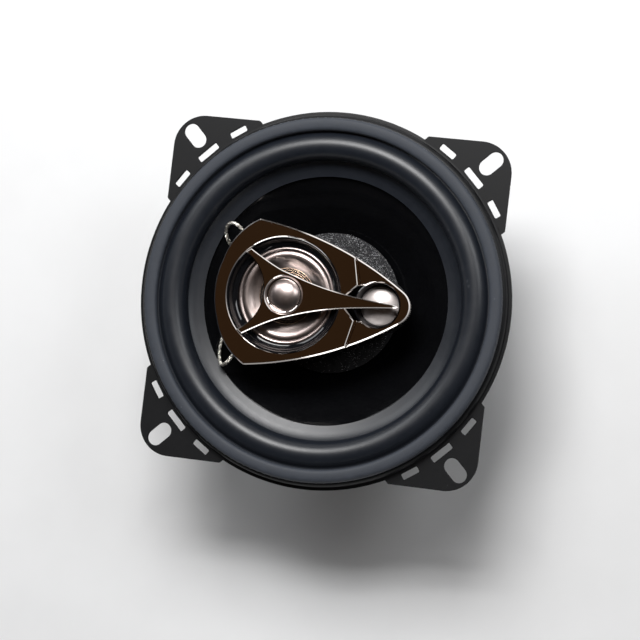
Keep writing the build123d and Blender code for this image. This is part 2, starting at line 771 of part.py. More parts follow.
with BuildPart() as tweeter_pot:
    with BuildSketch(bridge_level(44.2)):
        with Locations((TWEETER_U, 0)):
            Circle(POT_R)
    extrude(amount=3.45)
    with BuildSketch(bridge_level(44.9)):
        with Locations((TWEETER_U, 0)):
            Circle(POT_R - 0.65)
    extrude(amount=2.75, mode=Mode.SUBTRACT)
save(tweeter_pot.part, "tweeter_pot")
save(ring(0, 4.1, 44.9, 46.5, bridge_level, TWEETER_U), "tweeter_magnet")
save(ring(0, 4.3, 46.5, 47.4, bridge_level, TWEETER_U), "tweeter_pole_plate")

# ---------------------------------------------------------------- parts inside the bridge

for name, v in (("mid_capacitor", 7.9), ("tweeter_capacitor", -7.9)):
    with BuildPart() as capacitor:
        with BuildSketch(bridge_level(FLOOR_TOP)):
            with Locations((7.0, v)):
                Circle(2.0)
        extrude(amount=3.3)
        fillet(capacitor.edges().filter_by(GeomType.CIRCLE).sort_by(Axis.Z)[-1], 0.4)
    save(capacitor.part, name)

with BuildPart() as jumper_tabs:
    for v in (-1, 1):
        with BuildSketch(bridge_level(FLOOR_TOP)):
            with Locations((-20.3, 13.3 * v)):
                Circle(0.9)
        extrude(amount=2.0)
save(jumper_tabs.part, "jumper_tabs")

# ---------------------------------------------------------------- flexible leads


def lead(points, name):
    """A braided lead: straight runs joined by tangent arcs, as wide as the runs allow."""
    vectors = [Vector(*p) for p in points]
    radii = []
    for before, here, after in zip(vectors, vectors[1:], vectors[2:]):
        turn = radians((here - before).get_angle(after - here))
        run = min((here - before).length, (after - here).length)
        radii.append(0.45 * run / tan(turn / 2))
    print(name, "bend radii", [round(r, 2) for r in radii])
    with BuildPart() as tube:
        with BuildLine():
            route = FilletPolyline(*points, radius=radii)
        with BuildSketch(Plane(origin=route @ 0, z_dir=route % 0)):
            Circle(LEAD_R)
        sweep(path=route)
    section = pi * LEAD_R**2
    print(name, "length", round(route.length, 2), "volume", round(tube.part.volume, 3),
          "section times length", round(section * route.length, 3))
    save(tube.part, name)


JUMPER_ROUTE = (
    (-20.3, 13.3, 48.25),
    (-22.7, 15.5, 48.2),
    (-25.4, 17.9, 48.0),
    (-28.2, 18.3, 46.6),
    (-29.5, 16.0, 44.3),
    (-28.9, 13.3, 42.6),
    (-27.5, 11.6, 41.25),
)
JUMPER_ROUTE_LOWER = (
    (-20.3, -13.3, 48.25),
    (-21.6, -16.0, 48.2),
    (-23.2, -19.0, 48.0),
    (-25.4, -20.8, 46.6),
    (-27.0, -18.9, 44.3),
    (-27.7, -15.2, 42.6),
    (-27.3, -12.0, 41.3),
)
lead([bridge_point(*p) for p in JUMPER_ROUTE], "jumper_lead_positive")
lead([bridge_point(*p) for p in JUMPER_ROUTE_LOWER], "jumper_lead_negative")


def terminal_point(u, v, z):
    """A point in the directions of the terminal board, in the model's frame."""
    a = radians(TERMINAL_AZIMUTH)
    return (u * cos(a) - v * sin(a), u * sin(a) + v * cos(a), z)


for name, side in (("woofer_lead_positive", 1), ("woofer_lead_negative", -1)):
    lead(
        [
            terminal_point(u, v * side, z)
            for u, v, z in (
                (27.75, 11.35, 37.7),
                (29.3, 11.3, 35.0),
                (32.6, 10.7, 33.2),
                (36.6, 9.8, 32.9),
                (39.9, 8.8, 31.3),
                (40.9, 8.2, 28.5),
                (40.6, 8.0, 26.35),
            )
        ],
        name,
    )
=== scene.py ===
"""Looks of a 4-inch three-way coaxial car speaker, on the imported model's frame.

Lengths in the tables below are millimetres in the row frame; mm() turns them into metres.
u and v are the bridge's own directions: u runs from the midrange to the tweeter.
"""

import json
import math
import random

import bmesh
import bpy
import numpy as np
from mathutils import Matrix, Quaternion, Vector


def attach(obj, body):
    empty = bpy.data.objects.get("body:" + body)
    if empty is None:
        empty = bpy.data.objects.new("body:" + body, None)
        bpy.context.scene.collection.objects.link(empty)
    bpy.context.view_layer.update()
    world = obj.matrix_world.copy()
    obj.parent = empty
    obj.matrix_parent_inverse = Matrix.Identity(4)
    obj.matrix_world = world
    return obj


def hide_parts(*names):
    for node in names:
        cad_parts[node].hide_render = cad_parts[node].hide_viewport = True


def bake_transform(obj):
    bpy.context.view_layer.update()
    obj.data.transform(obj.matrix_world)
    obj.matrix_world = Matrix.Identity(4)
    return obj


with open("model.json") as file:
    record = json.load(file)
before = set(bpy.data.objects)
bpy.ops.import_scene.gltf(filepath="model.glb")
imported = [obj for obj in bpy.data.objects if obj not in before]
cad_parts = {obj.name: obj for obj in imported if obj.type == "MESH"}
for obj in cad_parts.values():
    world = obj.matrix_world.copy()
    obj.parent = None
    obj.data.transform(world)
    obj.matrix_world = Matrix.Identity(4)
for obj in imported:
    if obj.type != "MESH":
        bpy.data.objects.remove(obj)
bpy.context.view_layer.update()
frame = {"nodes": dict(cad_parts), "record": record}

NODES = frame["nodes"]
FRAME_BODY, CONE_BODY = "frame", "woofer_cone"
MID_BODY, TWEETER_BODY = "mid_diaphragm", "tweeter_diaphragm"
TAU = 2 * math.pi


def mm(*values):
    return Vector([value * 0.001 for value in values])


BRIDGE_AZIMUTH = math.radians(-45)
BRIDGE_TURN = Matrix.Rotation(BRIDGE_AZIMUTH, 4, "Z")


def on_bridge(u, v, z):
    """A place given in the bridge's directions, in millimetres of the row frame."""
    c, s = math.cos(BRIDGE_AZIMUTH), math.sin(BRIDGE_AZIMUTH)
    return (u * c - v * s, u * s + v * c, z)


# ------------------------------------------------------------------ camera and light

scene = bpy.context.scene
camera_data = bpy.data.cameras.new("camera")
camera = bpy.data.objects.new("camera", camera_data)
scene.collection.objects.link(camera)
camera_data.lens = 133.19
camera_data.sensor_width = 36.0
camera_data.clip_start, camera_data.clip_end = 0.05, 20.0
camera.rotation_mode = "QUATERNION"
camera.location = mm(80.31, -117.02, 665.87)
camera.rotation_quaternion = Quaternion((0.93837, 0.062717, 0.092355, -0.327106))
scene.camera = camera
scene.view_settings.view_transform = "Standard"

# The camera's right, seen from above: soft boxes are placed by its right and up directions
VIEW_AZIMUTH = math.radians(-38.6)
LIT_PLACE = mm(0, 0, 45)


def area_light(name, right, up, height, size, power, colour):
    """A soft box aimed at the bridge, placed in millimetres right and up of the speaker."""
    c, s = math.cos(VIEW_AZIMUTH), math.sin(VIEW_AZIMUTH)
    data = bpy.data.lights.new(name, "AREA")
    data.shape = "RECTANGLE"
    data.size, data.size_y = size[0] * 0.001, size[1] * 0.001
    data.energy = power
    data.color = colour
    lamp = bpy.data.objects.new(name, data)
    scene.collection.objects.link(lamp)
    lamp.location = mm(right * c - up * s, right * s + up * c, height)
    away = LIT_PLACE - lamp.location
    lamp.rotation_mode = "QUATERNION"
    lamp.rotation_quaternion = away.to_track_quat("-Z", "Y")


area_light("key", 0, 450, 640, (440, 220), 4.1, (1.0, 0.99, 0.985))
area_light("overhead", 0, 315, 670, (300, 110), 2.4, (1.0, 0.995, 0.99))
area_light("floor_fill", 0, -640, 150, (520, 90), 0.45, (1.0, 1.0, 1.0))
area_light("fill_left", -430, 420, 520, (260, 260), 1.2, (0.95, 0.975, 1.0))
area_light("fill_right", 450, 240, 560, (240, 240), 1.2, (0.97, 0.985, 1.0))

world = bpy.data.worlds.new("studio")
scene.world = world
world.use_nodes = True
nodes, links = world.node_tree.nodes, world.node_tree.links
nodes.clear()
where = nodes.new("ShaderNodeTexCoord")
split = nodes.new("ShaderNodeSeparateXYZ")
ramp = nodes.new("ShaderNodeValToRGB")
background = nodes.new("ShaderNodeBackground")
output = nodes.new("ShaderNodeOutputWorld")
links.new(where.outputs["Generated"], split.inputs[0])
links.new(split.outputs["Z"], ramp.inputs[0])
links.new(ramp.outputs[0], background.inputs[0])
# The room is brighter behind the speaker than in front of it
toward = nodes.new("ShaderNodeVectorMath")
toward.operation = "DOT_PRODUCT"
toward.inputs[1].default_value = (-math.sin(VIEW_AZIMUTH), math.cos(VIEW_AZIMUTH), 0.0)
links.new(where.outputs["Generated"], toward.inputs[0])
side = nodes.new("ShaderNodeMapRange")
for socket, number in (("From Min", -0.9), ("From Max", 0.3), ("To Min", 0.3), ("To Max", 1.0)):
    side.inputs[socket].default_value = number
links.new(toward.outputs["Value"], side.inputs["Value"])
links.new(side.outputs["Result"], background.inputs["Strength"])
links.new(background.outputs[0], output.inputs[0])
ramp.color_ramp.interpolation = "EASE"
stops = (
    (0.0, (1.5, 1.5, 1.5, 1)),
    (0.20, (1.2, 1.2, 1.2, 1)),
    (0.27, (0.10, 0.10, 0.105, 1)),
    (0.60, (0.03, 0.031, 0.033, 1)),
    (0.86, (0.034, 0.026, 0.020, 1)),
    (0.94, (0.042, 0.0215, 0.010, 1)),
    (1.0, (0.038, 0.019, 0.008, 1)),
)
while len(ramp.color_ramp.elements) < len(stops):
    ramp.color_ramp.elements.new(0.5)
for element, (position, colour) in zip(ramp.color_ramp.elements, stops):
    element.position, element.color = position, colour

# ------------------------------------------------------------------ shader node groups


def group(name, inputs, outputs):
    """An empty node group with named sockets, its input and output nodes."""
    tree = bpy.data.node_groups.new(name, "ShaderNodeTree")
    for socket, kind, default in inputs:
        made = tree.interface.new_socket(name=socket, in_out="INPUT", socket_type=kind)
        made.default_value = default
    for socket, kind in outputs:
        tree.interface.new_socket(name=socket, in_out="OUTPUT", socket_type=kind)
    return tree, tree.nodes.new("NodeGroupInput"), tree.nodes.new("NodeGroupOutput")


FLOAT = "NodeSocketFloat"


def maths(tree, operation, a, b=None, clamp=False):
    """A math node; each operand is a number or a socket."""
    node = tree.nodes.new("ShaderNodeMath")
    node.operation, node.use_clamp = operation, clamp
    for k, value in enumerate((a, b)):
        if value is None:
            continue
        if isinstance(value, (int, float)):
            node.inputs[k].default_value = value
        else:
            tree.links.new(value, node.inputs[k])
    return node.outputs[0]


def mapped(tree, value, low, high, to_low=0.0, to_high=1.0):
    """Maps a range of a value onto another, clamped."""
    node = tree.nodes.new("ShaderNodeMapRange")
    tree.links.new(value, node.inputs["Value"])
    for socket, number in (
        ("From Min", low), ("From Max", high), ("To Min", to_low), ("To Max", to_high)
    ):
        node.inputs[socket].default_value = number
    return node.outputs["Result"]


def object_place(tree):
    return tree.nodes.new("ShaderNodeTexCoord").outputs["Object"]


def noise(tree, scale, detail, rough=0.55):
    """Noise over the object's own coordinates; the scale is a number or a socket."""
    node = tree.nodes.new("ShaderNodeTexNoise")
    node.inputs["Detail"].default_value = detail
    node.inputs["Roughness"].default_value = rough
    if isinstance(scale, (int, float)):
        node.inputs["Scale"].default_value = scale
    else:
        tree.links.new(scale, node.inputs["Scale"])
    tree.links.new(object_place(tree), node.inputs["Vector"])
    return node.outputs["Fac"]


def make_grain():
    """Fine even grain, as on moulded plastic, paint or pressed board."""
    tree, start, end = group(
        "FineGrain",
        (("Scale", FLOAT, 2500.0), ("Contrast", FLOAT, 1.0)),
        (("Mask", FLOAT), ("Height", FLOAT)),
    )
    fine = noise(tree, start.outputs["Scale"], 3.0, 0.6)
    coarse_scale = maths(tree, "MULTIPLY", start.outputs["Scale"], 0.13)
    coarse = noise(tree, coarse_scale, 4.0, 0.5)
    both = maths(tree, "ADD", maths(tree, "MULTIPLY", fine, 0.65),
                 maths(tree, "MULTIPLY", coarse, 0.35))
    centred = maths(tree, "SUBTRACT", both, 0.5)
    scaled = maths(tree, "MULTIPLY", centred, start.outputs["Contrast"])
    mask = maths(tree, "ADD", maths(tree, "MULTIPLY", scaled, 2.2), 0.5, clamp=True)
    tree.links.new(mask, end.inputs["Mask"])
    tree.links.new(both, end.inputs["Height"])
    return tree


def make_specks():
    """Sparse small specks: dust, fibre ends or chipped paint."""
    tree, start, end = group(
        "Specks",
        (("Scale", FLOAT, 900.0), ("Amount", FLOAT, 0.2)),
        (("Mask", FLOAT),),
    )
    cells = tree.nodes.new("ShaderNodeTexVoronoi")
    tree.links.new(object_place(tree), cells.inputs["Vector"])
    tree.links.new(start.outputs["Scale"], cells.inputs["Scale"])
    near = mapped(tree, cells.outputs["Distance"], 0.12, 0.34, 1.0, 0.0)
    patch_scale = maths(tree, "MULTIPLY", start.outputs["Scale"], 0.21)
    patch = noise(tree, patch_scale, 3.0, 0.6)
    chosen = maths(tree, "ADD", patch, start.outputs["Amount"])
    keep = mapped(tree, chosen, 0.72, 0.80)
    tree.links.new(maths(tree, "MULTIPLY", near, keep, clamp=True), end.inputs["Mask"])
    return tree


def place_parts(tree):
    """X, Y and Z of the object's own coordinates, in metres."""
    parts = tree.nodes.new("ShaderNodeSeparateXYZ")
    tree.links.new(object_place(tree), parts.inputs[0])
    return parts.outputs


def make_turned():
    """Concentric tool marks round the speaker's axis."""
    tree, start, end = group(
        "TurnedRings", (("Rings per metre", FLOAT, 9000.0),), (("Height", FLOAT),)
    )
    x, y = place_parts(tree)[:2]
    square = maths(tree, "ADD", maths(tree, "MULTIPLY", x, x), maths(tree, "MULTIPLY", y, y))
    radius = maths(tree, "SQRT", square)
    wander = maths(tree, "MULTIPLY", noise(tree, 260.0, 2.0), 0.0004)
    phase = maths(tree, "MULTIPLY", maths(tree, "ADD", radius, wander),
                  start.outputs["Rings per metre"])
    tree.links.new(maths(tree, "SINE", phase), end.inputs["Height"])
    return tree


def make_weave():
    """Plain weave seen from above."""
    tree, start, end = group(
        "PlainWeave", (("Threads per metre", FLOAT, 2600.0),), (("Height", FLOAT), ("Mask", FLOAT))
    )
    waves = []
    for across in place_parts(tree)[:2]:
        turn = maths(tree, "MULTIPLY", across, start.outputs["Threads per metre"])
        waves.append(maths(tree, "SINE", maths(tree, "MULTIPLY", turn, math.pi)))
    cross = maths(tree, "MULTIPLY", waves[0], waves[1])
    tree.links.new(mapped(tree, cross, -1.0, 1.0), end.inputs["Height"])
    gaps = maths(tree, "ABSOLUTE", cross)
    tree.links.new(mapped(tree, gaps, 0.0, 0.25, 1.0, 0.0), end.inputs["Mask"])
    return tree


GRAIN, SPECKS, TURNED, WEAVE = make_grain(), make_specks(), make_turned(), make_weave()

# ------------------------------------------------------------------ materials


def use_group(tree, shared, **values):
    """Places a shared group, its sockets named with underscores for spaces."""
    node = tree.nodes.new("ShaderNodeGroup")
    node.node_tree = shared
    for socket, value in values.items():
        node.inputs[socket.replace("_", " ")].default_value = value
    return node


def mix(tree, mask, a, b):
    """Mixes two colours, or a colour socket and a colour, by a mask."""
    node = tree.nodes.new("ShaderNodeMix")
    node.data_type = "RGBA"
    tree.links.new(mask, node.inputs["Factor"])
    for socket, value in ((node.inputs[6], a), (node.inputs[7], b)):
        if isinstance(value, (tuple, list)):
            socket.default_value = (*value, 1.0)
        else:
            tree.links.new(value, socket)
    return node.outputs[2]


def finish(name, base, other, rough, spread=0.08, metallic=0.0, grain=2500.0, contrast=1.0,
           bump=0.0, bump_mm=0.02, coat=0.0, specks=None, rings=0.0, weave=0.0,
           specular=None, speck_rough=0.0):
    """A procedural finish: two tones and a roughness that vary with the grain, and its relief."""
    material = bpy.data.materials.new(name)
    material.use_nodes = True
    tree = material.node_tree
    shader = tree.nodes["Principled BSDF"]
    shader.inputs["Metallic"].default_value = metallic
    if coat:
        shader.inputs["Coat Weight"].default_value = coat
        shader.inputs["Coat Roughness"].default_value = 0.06
    if specular is not None:
        shader.inputs["Specular IOR Level"].default_value = specular
    surface = use_group(tree, GRAIN, Scale=grain, Contrast=contrast)
    mask, height = surface.outputs["Mask"], surface.outputs["Height"]
    colour = mix(tree, mask, base, other)
    roughness = mapped(tree, mask, 0.0, 1.0, rough - spread, rough + spread)
    if weave:
        cloth = use_group(tree, WEAVE, Threads_per_metre=weave)
        dark = tuple(channel * 0.35 for channel in base)
        colour = mix(tree, cloth.outputs["Mask"], colour, dark)
        height = cloth.outputs["Height"]
    if rings:
        height = use_group(tree, TURNED, Rings_per_metre=rings).outputs["Height"]
    if specks:
        speck_scale, amount, speck_colour = specks
        spots = use_group(tree, SPECKS, Scale=speck_scale, Amount=amount).outputs["Mask"]
        colour = mix(tree, spots, colour, speck_colour)
        if speck_rough:
            roughness = maths(tree, "ADD", roughness,
                              maths(tree, "MULTIPLY", spots, speck_rough), clamp=True)
    tree.links.new(colour, shader.inputs["Base Color"])
    tree.links.new(roughness, shader.inputs["Roughness"])
    if bump:
        relief = tree.nodes.new("ShaderNodeBump")
        relief.inputs["Strength"].default_value = bump
        relief.inputs["Distance"].default_value = bump_mm * 0.001
        tree.links.new(height, relief.inputs["Height"])
        tree.links.new(relief.outputs[0], shader.inputs["Normal"])
    return material


MATERIALS = {
    "basket_paint": finish(
        "basket_paint", (0.0035, 0.0037, 0.0043), (0.006, 0.0062, 0.007), 0.46, 0.06,
        grain=6500.0, bump=0.22, bump_mm=0.008, specular=0.2,
        specks=(620.0, 0.05, (0.22, 0.225, 0.23)),
    ),
    "gasket_board": finish(
        "gasket_board", (0.015, 0.019, 0.027), (0.030, 0.036, 0.048), 0.66, 0.1,
        grain=5200.0, contrast=1.4, bump=0.55, bump_mm=0.03,
        specks=(900.0, 0.06, (0.19, 0.2, 0.22)),
    ),
    "surround_rubber": finish(
        "surround_rubber", (0.006, 0.0078, 0.0115), (0.010, 0.0125, 0.018), 0.37, 0.05,
        grain=3200.0, bump=0.18, bump_mm=0.01, specks=(560.0, 0.03, (0.11, 0.115, 0.125)),
    ),
    "cone_film": finish(
        "cone_film", (0.0018, 0.0018, 0.0022), (0.0034, 0.0036, 0.0042), 0.13, 0.04,
        grain=1500.0, bump=0.1, bump_mm=0.006, specular=0.14,
        specks=(700.0, 0.03, (0.16, 0.16, 0.16)),
    ),
    "cap_felt": finish(
        "cap_felt", (0.003, 0.003, 0.004), (0.028, 0.028, 0.030), 0.95, 0.04,
        grain=5200.0, contrast=2.8, bump=0.5, bump_mm=0.05,
        specks=(3300.0, 0.05, (0.55, 0.55, 0.56)),
    ),
    "spider_cloth": finish(
        "spider_cloth", (0.36, 0.17, 0.045), (0.47, 0.25, 0.08), 0.6, 0.1,
        grain=1400.0, bump=0.8, bump_mm=0.08, weave=2100.0,
    ),
    "former_kapton": finish(
        "former_kapton", (0.30, 0.12, 0.02), (0.36, 0.16, 0.03), 0.3, 0.08, grain=900.0,
    ),
    "winding_copper": finish(
        "winding_copper", (0.46, 0.16, 0.06), (0.58, 0.24, 0.1), 0.3, 0.07,
        metallic=1.0, grain=2600.0, coat=0.4,
    ),
    "plate_zinc": finish(
        "plate_zinc", (0.46, 0.47, 0.48), (0.58, 0.585, 0.58), 0.34, 0.09,
        metallic=1.0, grain=900.0, contrast=1.3, bump=0.25, bump_mm=0.012, rings=21000.0,
        specks=(300.0, 0.0, (0.20, 0.19, 0.17)), speck_rough=0.2,
    ),
    "ferrite": finish(
        "ferrite", (0.020, 0.0205, 0.022), (0.036, 0.036, 0.038), 0.58, 0.12,
        grain=2600.0, contrast=1.3, bump=0.5, bump_mm=0.05,
        specks=(360.0, 0.02, (0.075, 0.075, 0.078)),
    ),
    "neodymium": finish(
        "neodymium", (0.55, 0.55, 0.56), (0.66, 0.66, 0.66), 0.2, 0.05, metallic=1.0,
    ),
    "board_phenolic": finish(
        "board_phenolic", (0.095, 0.035, 0.013), (0.15, 0.06, 0.022), 0.42, 0.1,
        grain=1300.0, contrast=1.5, bump=0.3, bump_mm=0.02,
    ),
    "tinned_brass": finish(
        "tinned_brass", (0.56, 0.54, 0.49), (0.70, 0.68, 0.63), 0.27, 0.08,
        metallic=1.0, grain=5200.0, contrast=0.9, bump=0.2, bump_mm=0.006,
    ),
    "lead_braid": finish(
        "lead_braid", (0.42, 0.40, 0.36), (0.78, 0.76, 0.70), 0.30, 0.08,
        metallic=1.0, grain=6000.0, contrast=1.5,
    ),
    "post_plastic": finish(
        "post_plastic", (0.010, 0.010, 0.011), (0.018, 0.018, 0.019), 0.45, 0.08,
        grain=2200.0, bump=0.3, bump_mm=0.012,
    ),
    "fastener_steel": finish(
        "fastener_steel", (0.48, 0.49, 0.50), (0.62, 0.62, 0.61), 0.28, 0.08,
        metallic=1.0, grain=1600.0, bump=0.2, bump_mm=0.01,
    ),
    "bridge_plastic": finish(
        "bridge_plastic", (0.006, 0.006, 0.007), (0.011, 0.011, 0.012), 0.4, 0.08,
        grain=2600.0, bump=0.3, bump_mm=0.012,
    ),
    # The warm tint of this chrome is partly painted reflection: it carries some of the brown the
    # plate mirrors from overhead
    "face_chrome": finish(
        "face_chrome", (0.66, 0.62, 0.595), (0.70, 0.66, 0.635), 0.04, 0.012,
        metallic=1.0, grain=500.0, contrast=0.8, specks=(520.0, -0.05, (0.42, 0.39, 0.37)),
        speck_rough=0.2,
    ),
    "driver_film": finish(
        "driver_film", (0.37, 0.31, 0.292), (0.43, 0.362, 0.343), 0.31, 0.03,
        metallic=1.0, grain=1300.0, contrast=0.9,
    ),
    "capacitor_can": finish(
        "capacitor_can", (0.55, 0.555, 0.57), (0.64, 0.64, 0.65), 0.3, 0.06,
        metallic=1.0, grain=1200.0,
    ),
}
THROAT_BLACK = finish(
    "throat_black", (0.003, 0.003, 0.004), (0.006, 0.006, 0.007), 0.05, 0.015, grain=500.0,
    specular=0.45,
)
DISH_BLACK = finish(
    "dish_black", (0.012, 0.010, 0.010), (0.022, 0.018, 0.017), 0.22, 0.04, grain=900.0,
    specular=0.7,
)
GOLD_LINE = finish(
    "gold_line", (0.62, 0.46, 0.34), (0.75, 0.58, 0.44), 0.25, 0.05, metallic=1.0,
)
FELT_FIBRE = finish(
    "felt_fibre", (0.012, 0.012, 0.013), (0.8, 0.8, 0.82), 0.85, 0.05,
    grain=2600.0, contrast=4.5,
)
TWEETER_SILVER = finish(
    "tweeter_silver", (0.50, 0.455, 0.44), (0.58, 0.53, 0.51), 0.34, 0.05,
    metallic=0.45, grain=1300.0, contrast=1.1,
)

slot_of = {part["node"]: part["material_slot"] for part in frame["record"]["subparts"]}
for node_name, node_object in NODES.items():
    node_object.data.materials.clear()
    node_object.data.materials.append(MATERIALS[slot_of[node_name]])

# ------------------------------------------------------------------ mesh helpers


def put(name, mesh, body, slot, replaced=(), material=None):
    """Makes an object of a mesh that rides on a body and stands for CAD nodes."""
    obj = bpy.data.objects.new(name, mesh)
    scene.collection.objects.link(obj)
    mesh.materials.clear()
    mesh.materials.append(material or MATERIALS[slot])
    if body:
        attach(obj, body)
    if replaced:
        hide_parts(*replaced)
    return obj


def soften(mesh, angle=32.0):
    """Smooth shading, with edges sharper than the angle left crisp."""
    for polygon in mesh.polygons:
        polygon.use_smooth = True
    if hasattr(mesh, "set_sharp_from_angle"):
        mesh.set_sharp_from_angle(angle=math.radians(angle))
    return mesh


def cleaned(mesh, reach, angle):
    """Merges points closer than a reach in metres, turns the faces outwards and softens."""
    work = bmesh.new()
    work.from_mesh(mesh)
    bmesh.ops.remove_doubles(work, verts=work.verts, dist=reach)
    bmesh.ops.recalc_face_normals(work, faces=work.faces)
    work.to_mesh(mesh)
    work.free()
    mesh.update()
    return soften(mesh, angle)


def mesh_from(name, verts, faces, angle=32.0):
    """A mesh of points in metres and faces."""
    mesh = bpy.data.meshes.new(name)
    mesh.from_pydata(verts, [], faces)
    return cleaned(mesh, 1e-8, angle)


def turned(name, profile, centre=(0.0, 0.0), steps=256, shape=None, angle=32.0):
    """A closed profile of (radius, height) points in millimetres, turned round an axis.

    shape, when given, returns the radius and height for a turn angle, a radius and a height.
    """
    verts, rings = [], []
    for r, z in profile:
        if r < 1e-6:
            rings.append([len(verts)] * steps)
            verts.append(mm(centre[0], centre[1], z))
            continue
        ring = []
        for k in range(steps):
            a = TAU * k / steps
            radius, height = shape(a, r, z) if shape else (r, z)
            ring.append(len(verts))
            verts.append(mm(centre[0] + radius * math.cos(a),
                            centre[1] + radius * math.sin(a), height))
        rings.append(ring)
    faces = []
    for below, above in zip(rings, rings[1:] + rings[:1]):
        for k in range(steps):
            n = (k + 1) % steps
            corners = [below[k], below[n], above[n], above[k]]
            corners = list(dict.fromkeys(corners))
            if len(corners) > 2:
                faces.append(corners)
    return mesh_from(name, verts, faces, angle)


def smooth_line(points, per=8):
    """A Catmull-Rom curve through points, with per steps between each two."""
    points = [Vector(p) for p in points]
    ends = [points[0] * 2 - points[1], *points, points[-1] * 2 - points[-2]]
    line = []
    for a, b, c, d in zip(ends, ends[1:], ends[2:], ends[3:]):
        for k in range(per):
            t = k / per
            line.append(0.5 * ((2 * b) + (c - a) * t + (2 * a - 5 * b + 4 * c - d) * t * t
                               + (3 * b - a - 3 * c + d) * t**3))
    return [tuple(p) for p in line] + [tuple(points[-1])]


def arc(centre, radius, start, end, count):
    """Points of an arc, angles in degrees."""
    return [
        (centre[0] + radius * math.cos(math.radians(start + (end - start) * k / count)),
         centre[1] + radius * math.sin(math.radians(start + (end - start) * k / count)))
        for k in range(count + 1)
    ]


def thickened(line, thickness):
    """Both sides of a profile line, as one closed loop of even thickness."""
    points = [Vector(p) for p in line]
    sides = ([], [])
    for k, here in enumerate(points):
        before, after = points[max(k - 1, 0)], points[min(k + 1, len(points) - 1)]
        along = (after - before).normalized()
        across = Vector((-along.y, along.x)) * thickness / 2
        sides[0].append(tuple(here + across))
        sides[1].append(tuple(here - across))
    return sides[0] + sides[1][::-1]


def plate(name, outlines, low, high, bevel, turn=BRIDGE_TURN):
    """A flat plate with holes and evenly bevelled edges, from closed outlines in millimetres."""
    curve = bpy.data.curves.new(name, "CURVE")
    curve.dimensions = "2D"
    curve.fill_mode = "BOTH"
    for outline in outlines:
        spline = curve.splines.new("POLY")
        spline.points.add(len(outline) - 1)
        for point, (x, y) in zip(spline.points, outline):
            point.co = (x * 0.001, y * 0.001, 0.0, 1.0)
        spline.use_cyclic_u = True
    curve.extrude = ((high - low) / 2 - bevel) * 0.001
    curve.bevel_depth = bevel * 0.001
    curve.bevel_resolution = 0
    curve.offset = -bevel * 0.001
    holder = bpy.data.objects.new(name, curve)
    mesh = bpy.data.meshes.new_from_object(holder)
    bpy.data.objects.remove(holder)
    bpy.data.curves.remove(curve)
    mesh.transform(Matrix.Translation((0, 0, (low + high) / 2 * 0.001)))
    mesh.transform(turn)
    return cleaned(mesh, 1e-7, 28.0)


def joined(name, meshes):
    """One mesh made of several, keeping their shading."""
    work = bmesh.new()
    for mesh in meshes:
        work.from_mesh(mesh)
    out = bpy.data.meshes.new(name)
    work.to_mesh(out)
    work.free()
    for mesh in meshes:
        bpy.data.meshes.remove(mesh)
    out.update()
    return out


def radial_blend(obj):
    """Bakes a ring's placement into its mesh and reads its points; the ring is not bent across the
    joint.
    """
    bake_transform(obj)
    count = len(obj.data.vertices)
    co = np.zeros(count * 3, np.float32)
    obj.data.vertices.foreach_get("co", co)


# ------------------------------------------------------------------ magnet system

put("magnet_ring", turned("magnet_ring", [
    (16.0, 4.55), (16.4, 4.5), (31.6, 4.5), (32.1, 4.7), (32.4, 5.1), (32.5, 5.5),
    (32.5, 13.5), (32.4, 13.9), (32.1, 14.3), (31.6, 14.5), (16.4, 14.5), (16.0, 14.45),
], shape=lambda a, r, z: (r + (0.05 * math.sin(5 * a + z) if r > 31 else 0.0), z)),
    FRAME_BODY, "ferrite", ("magnet",))

put("yoke_turned", turned("yoke_turned", [
    (4.2, 0.15), (4.35, 0.0), (28.1, 0.0), (28.45, 0.12), (28.85, 0.52), (29.0, 0.9),
    (29.0, 4.3), (28.8, 4.5), (12.3, 4.5), (12.3, 18.3), (12.15, 18.75), (11.8, 18.9),
    (1.55, 18.9), (1.55, 3.6), (4.2, 3.6),
]), FRAME_BODY, "plate_zinc", ("yoke",))

put("top_plate_turned", turned("top_plate_turned", [
    (13.85, 14.6), (13.95, 14.5), (28.8, 14.5), (29.0, 14.7), (29.0, 18.1), (28.85, 18.35),
    (28.6, 18.5), (13.95, 18.5), (13.85, 18.4),
]), FRAME_BODY, "plate_zinc", ("top_plate",))

# ------------------------------------------------------------------ basket

BOWL_LINE = (
    [(51.05, 44.5), (50.55, 44.5)]
    + arc((50.35, 45.2), 0.7, 250, 195, 4)
    + arc((48.85, 45.75), 0.75, 20, 90, 5)
    + [(47.0, 46.5), (45.6, 46.5)]
    + arc((45.0, 45.4), 1.1, 95, 155, 5)
    + [(42.8, 42.3), (40.0, 35.72), (37.2, 29.15)]
    + arc((35.2, 26.95), 0.85, 335, 272, 4)
    + [(33.5, 26.1), (31.6, 26.1)]
    + arc((31.4, 25.3), 0.8, 95, 170, 4)
    + [(30.2, 22.5), (29.55, 19.9)]
    + arc((28.6, 19.95), 0.95, 350, 272, 4)
    + [(22.0, 19.0), (15.4, 19.0)]
)


def resampled(line, step):
    """Points no further apart than a step along a line."""
    out = [line[0]]
    for a, b in zip(line, line[1:]):
        count = max(1, math.ceil(math.dist(a, b) / step))
        out += [(a[0] + (b[0] - a[0]) * k / count, a[1] + (b[1] - a[1]) * k / count)
                for k in range(1, count + 1)]
    return out


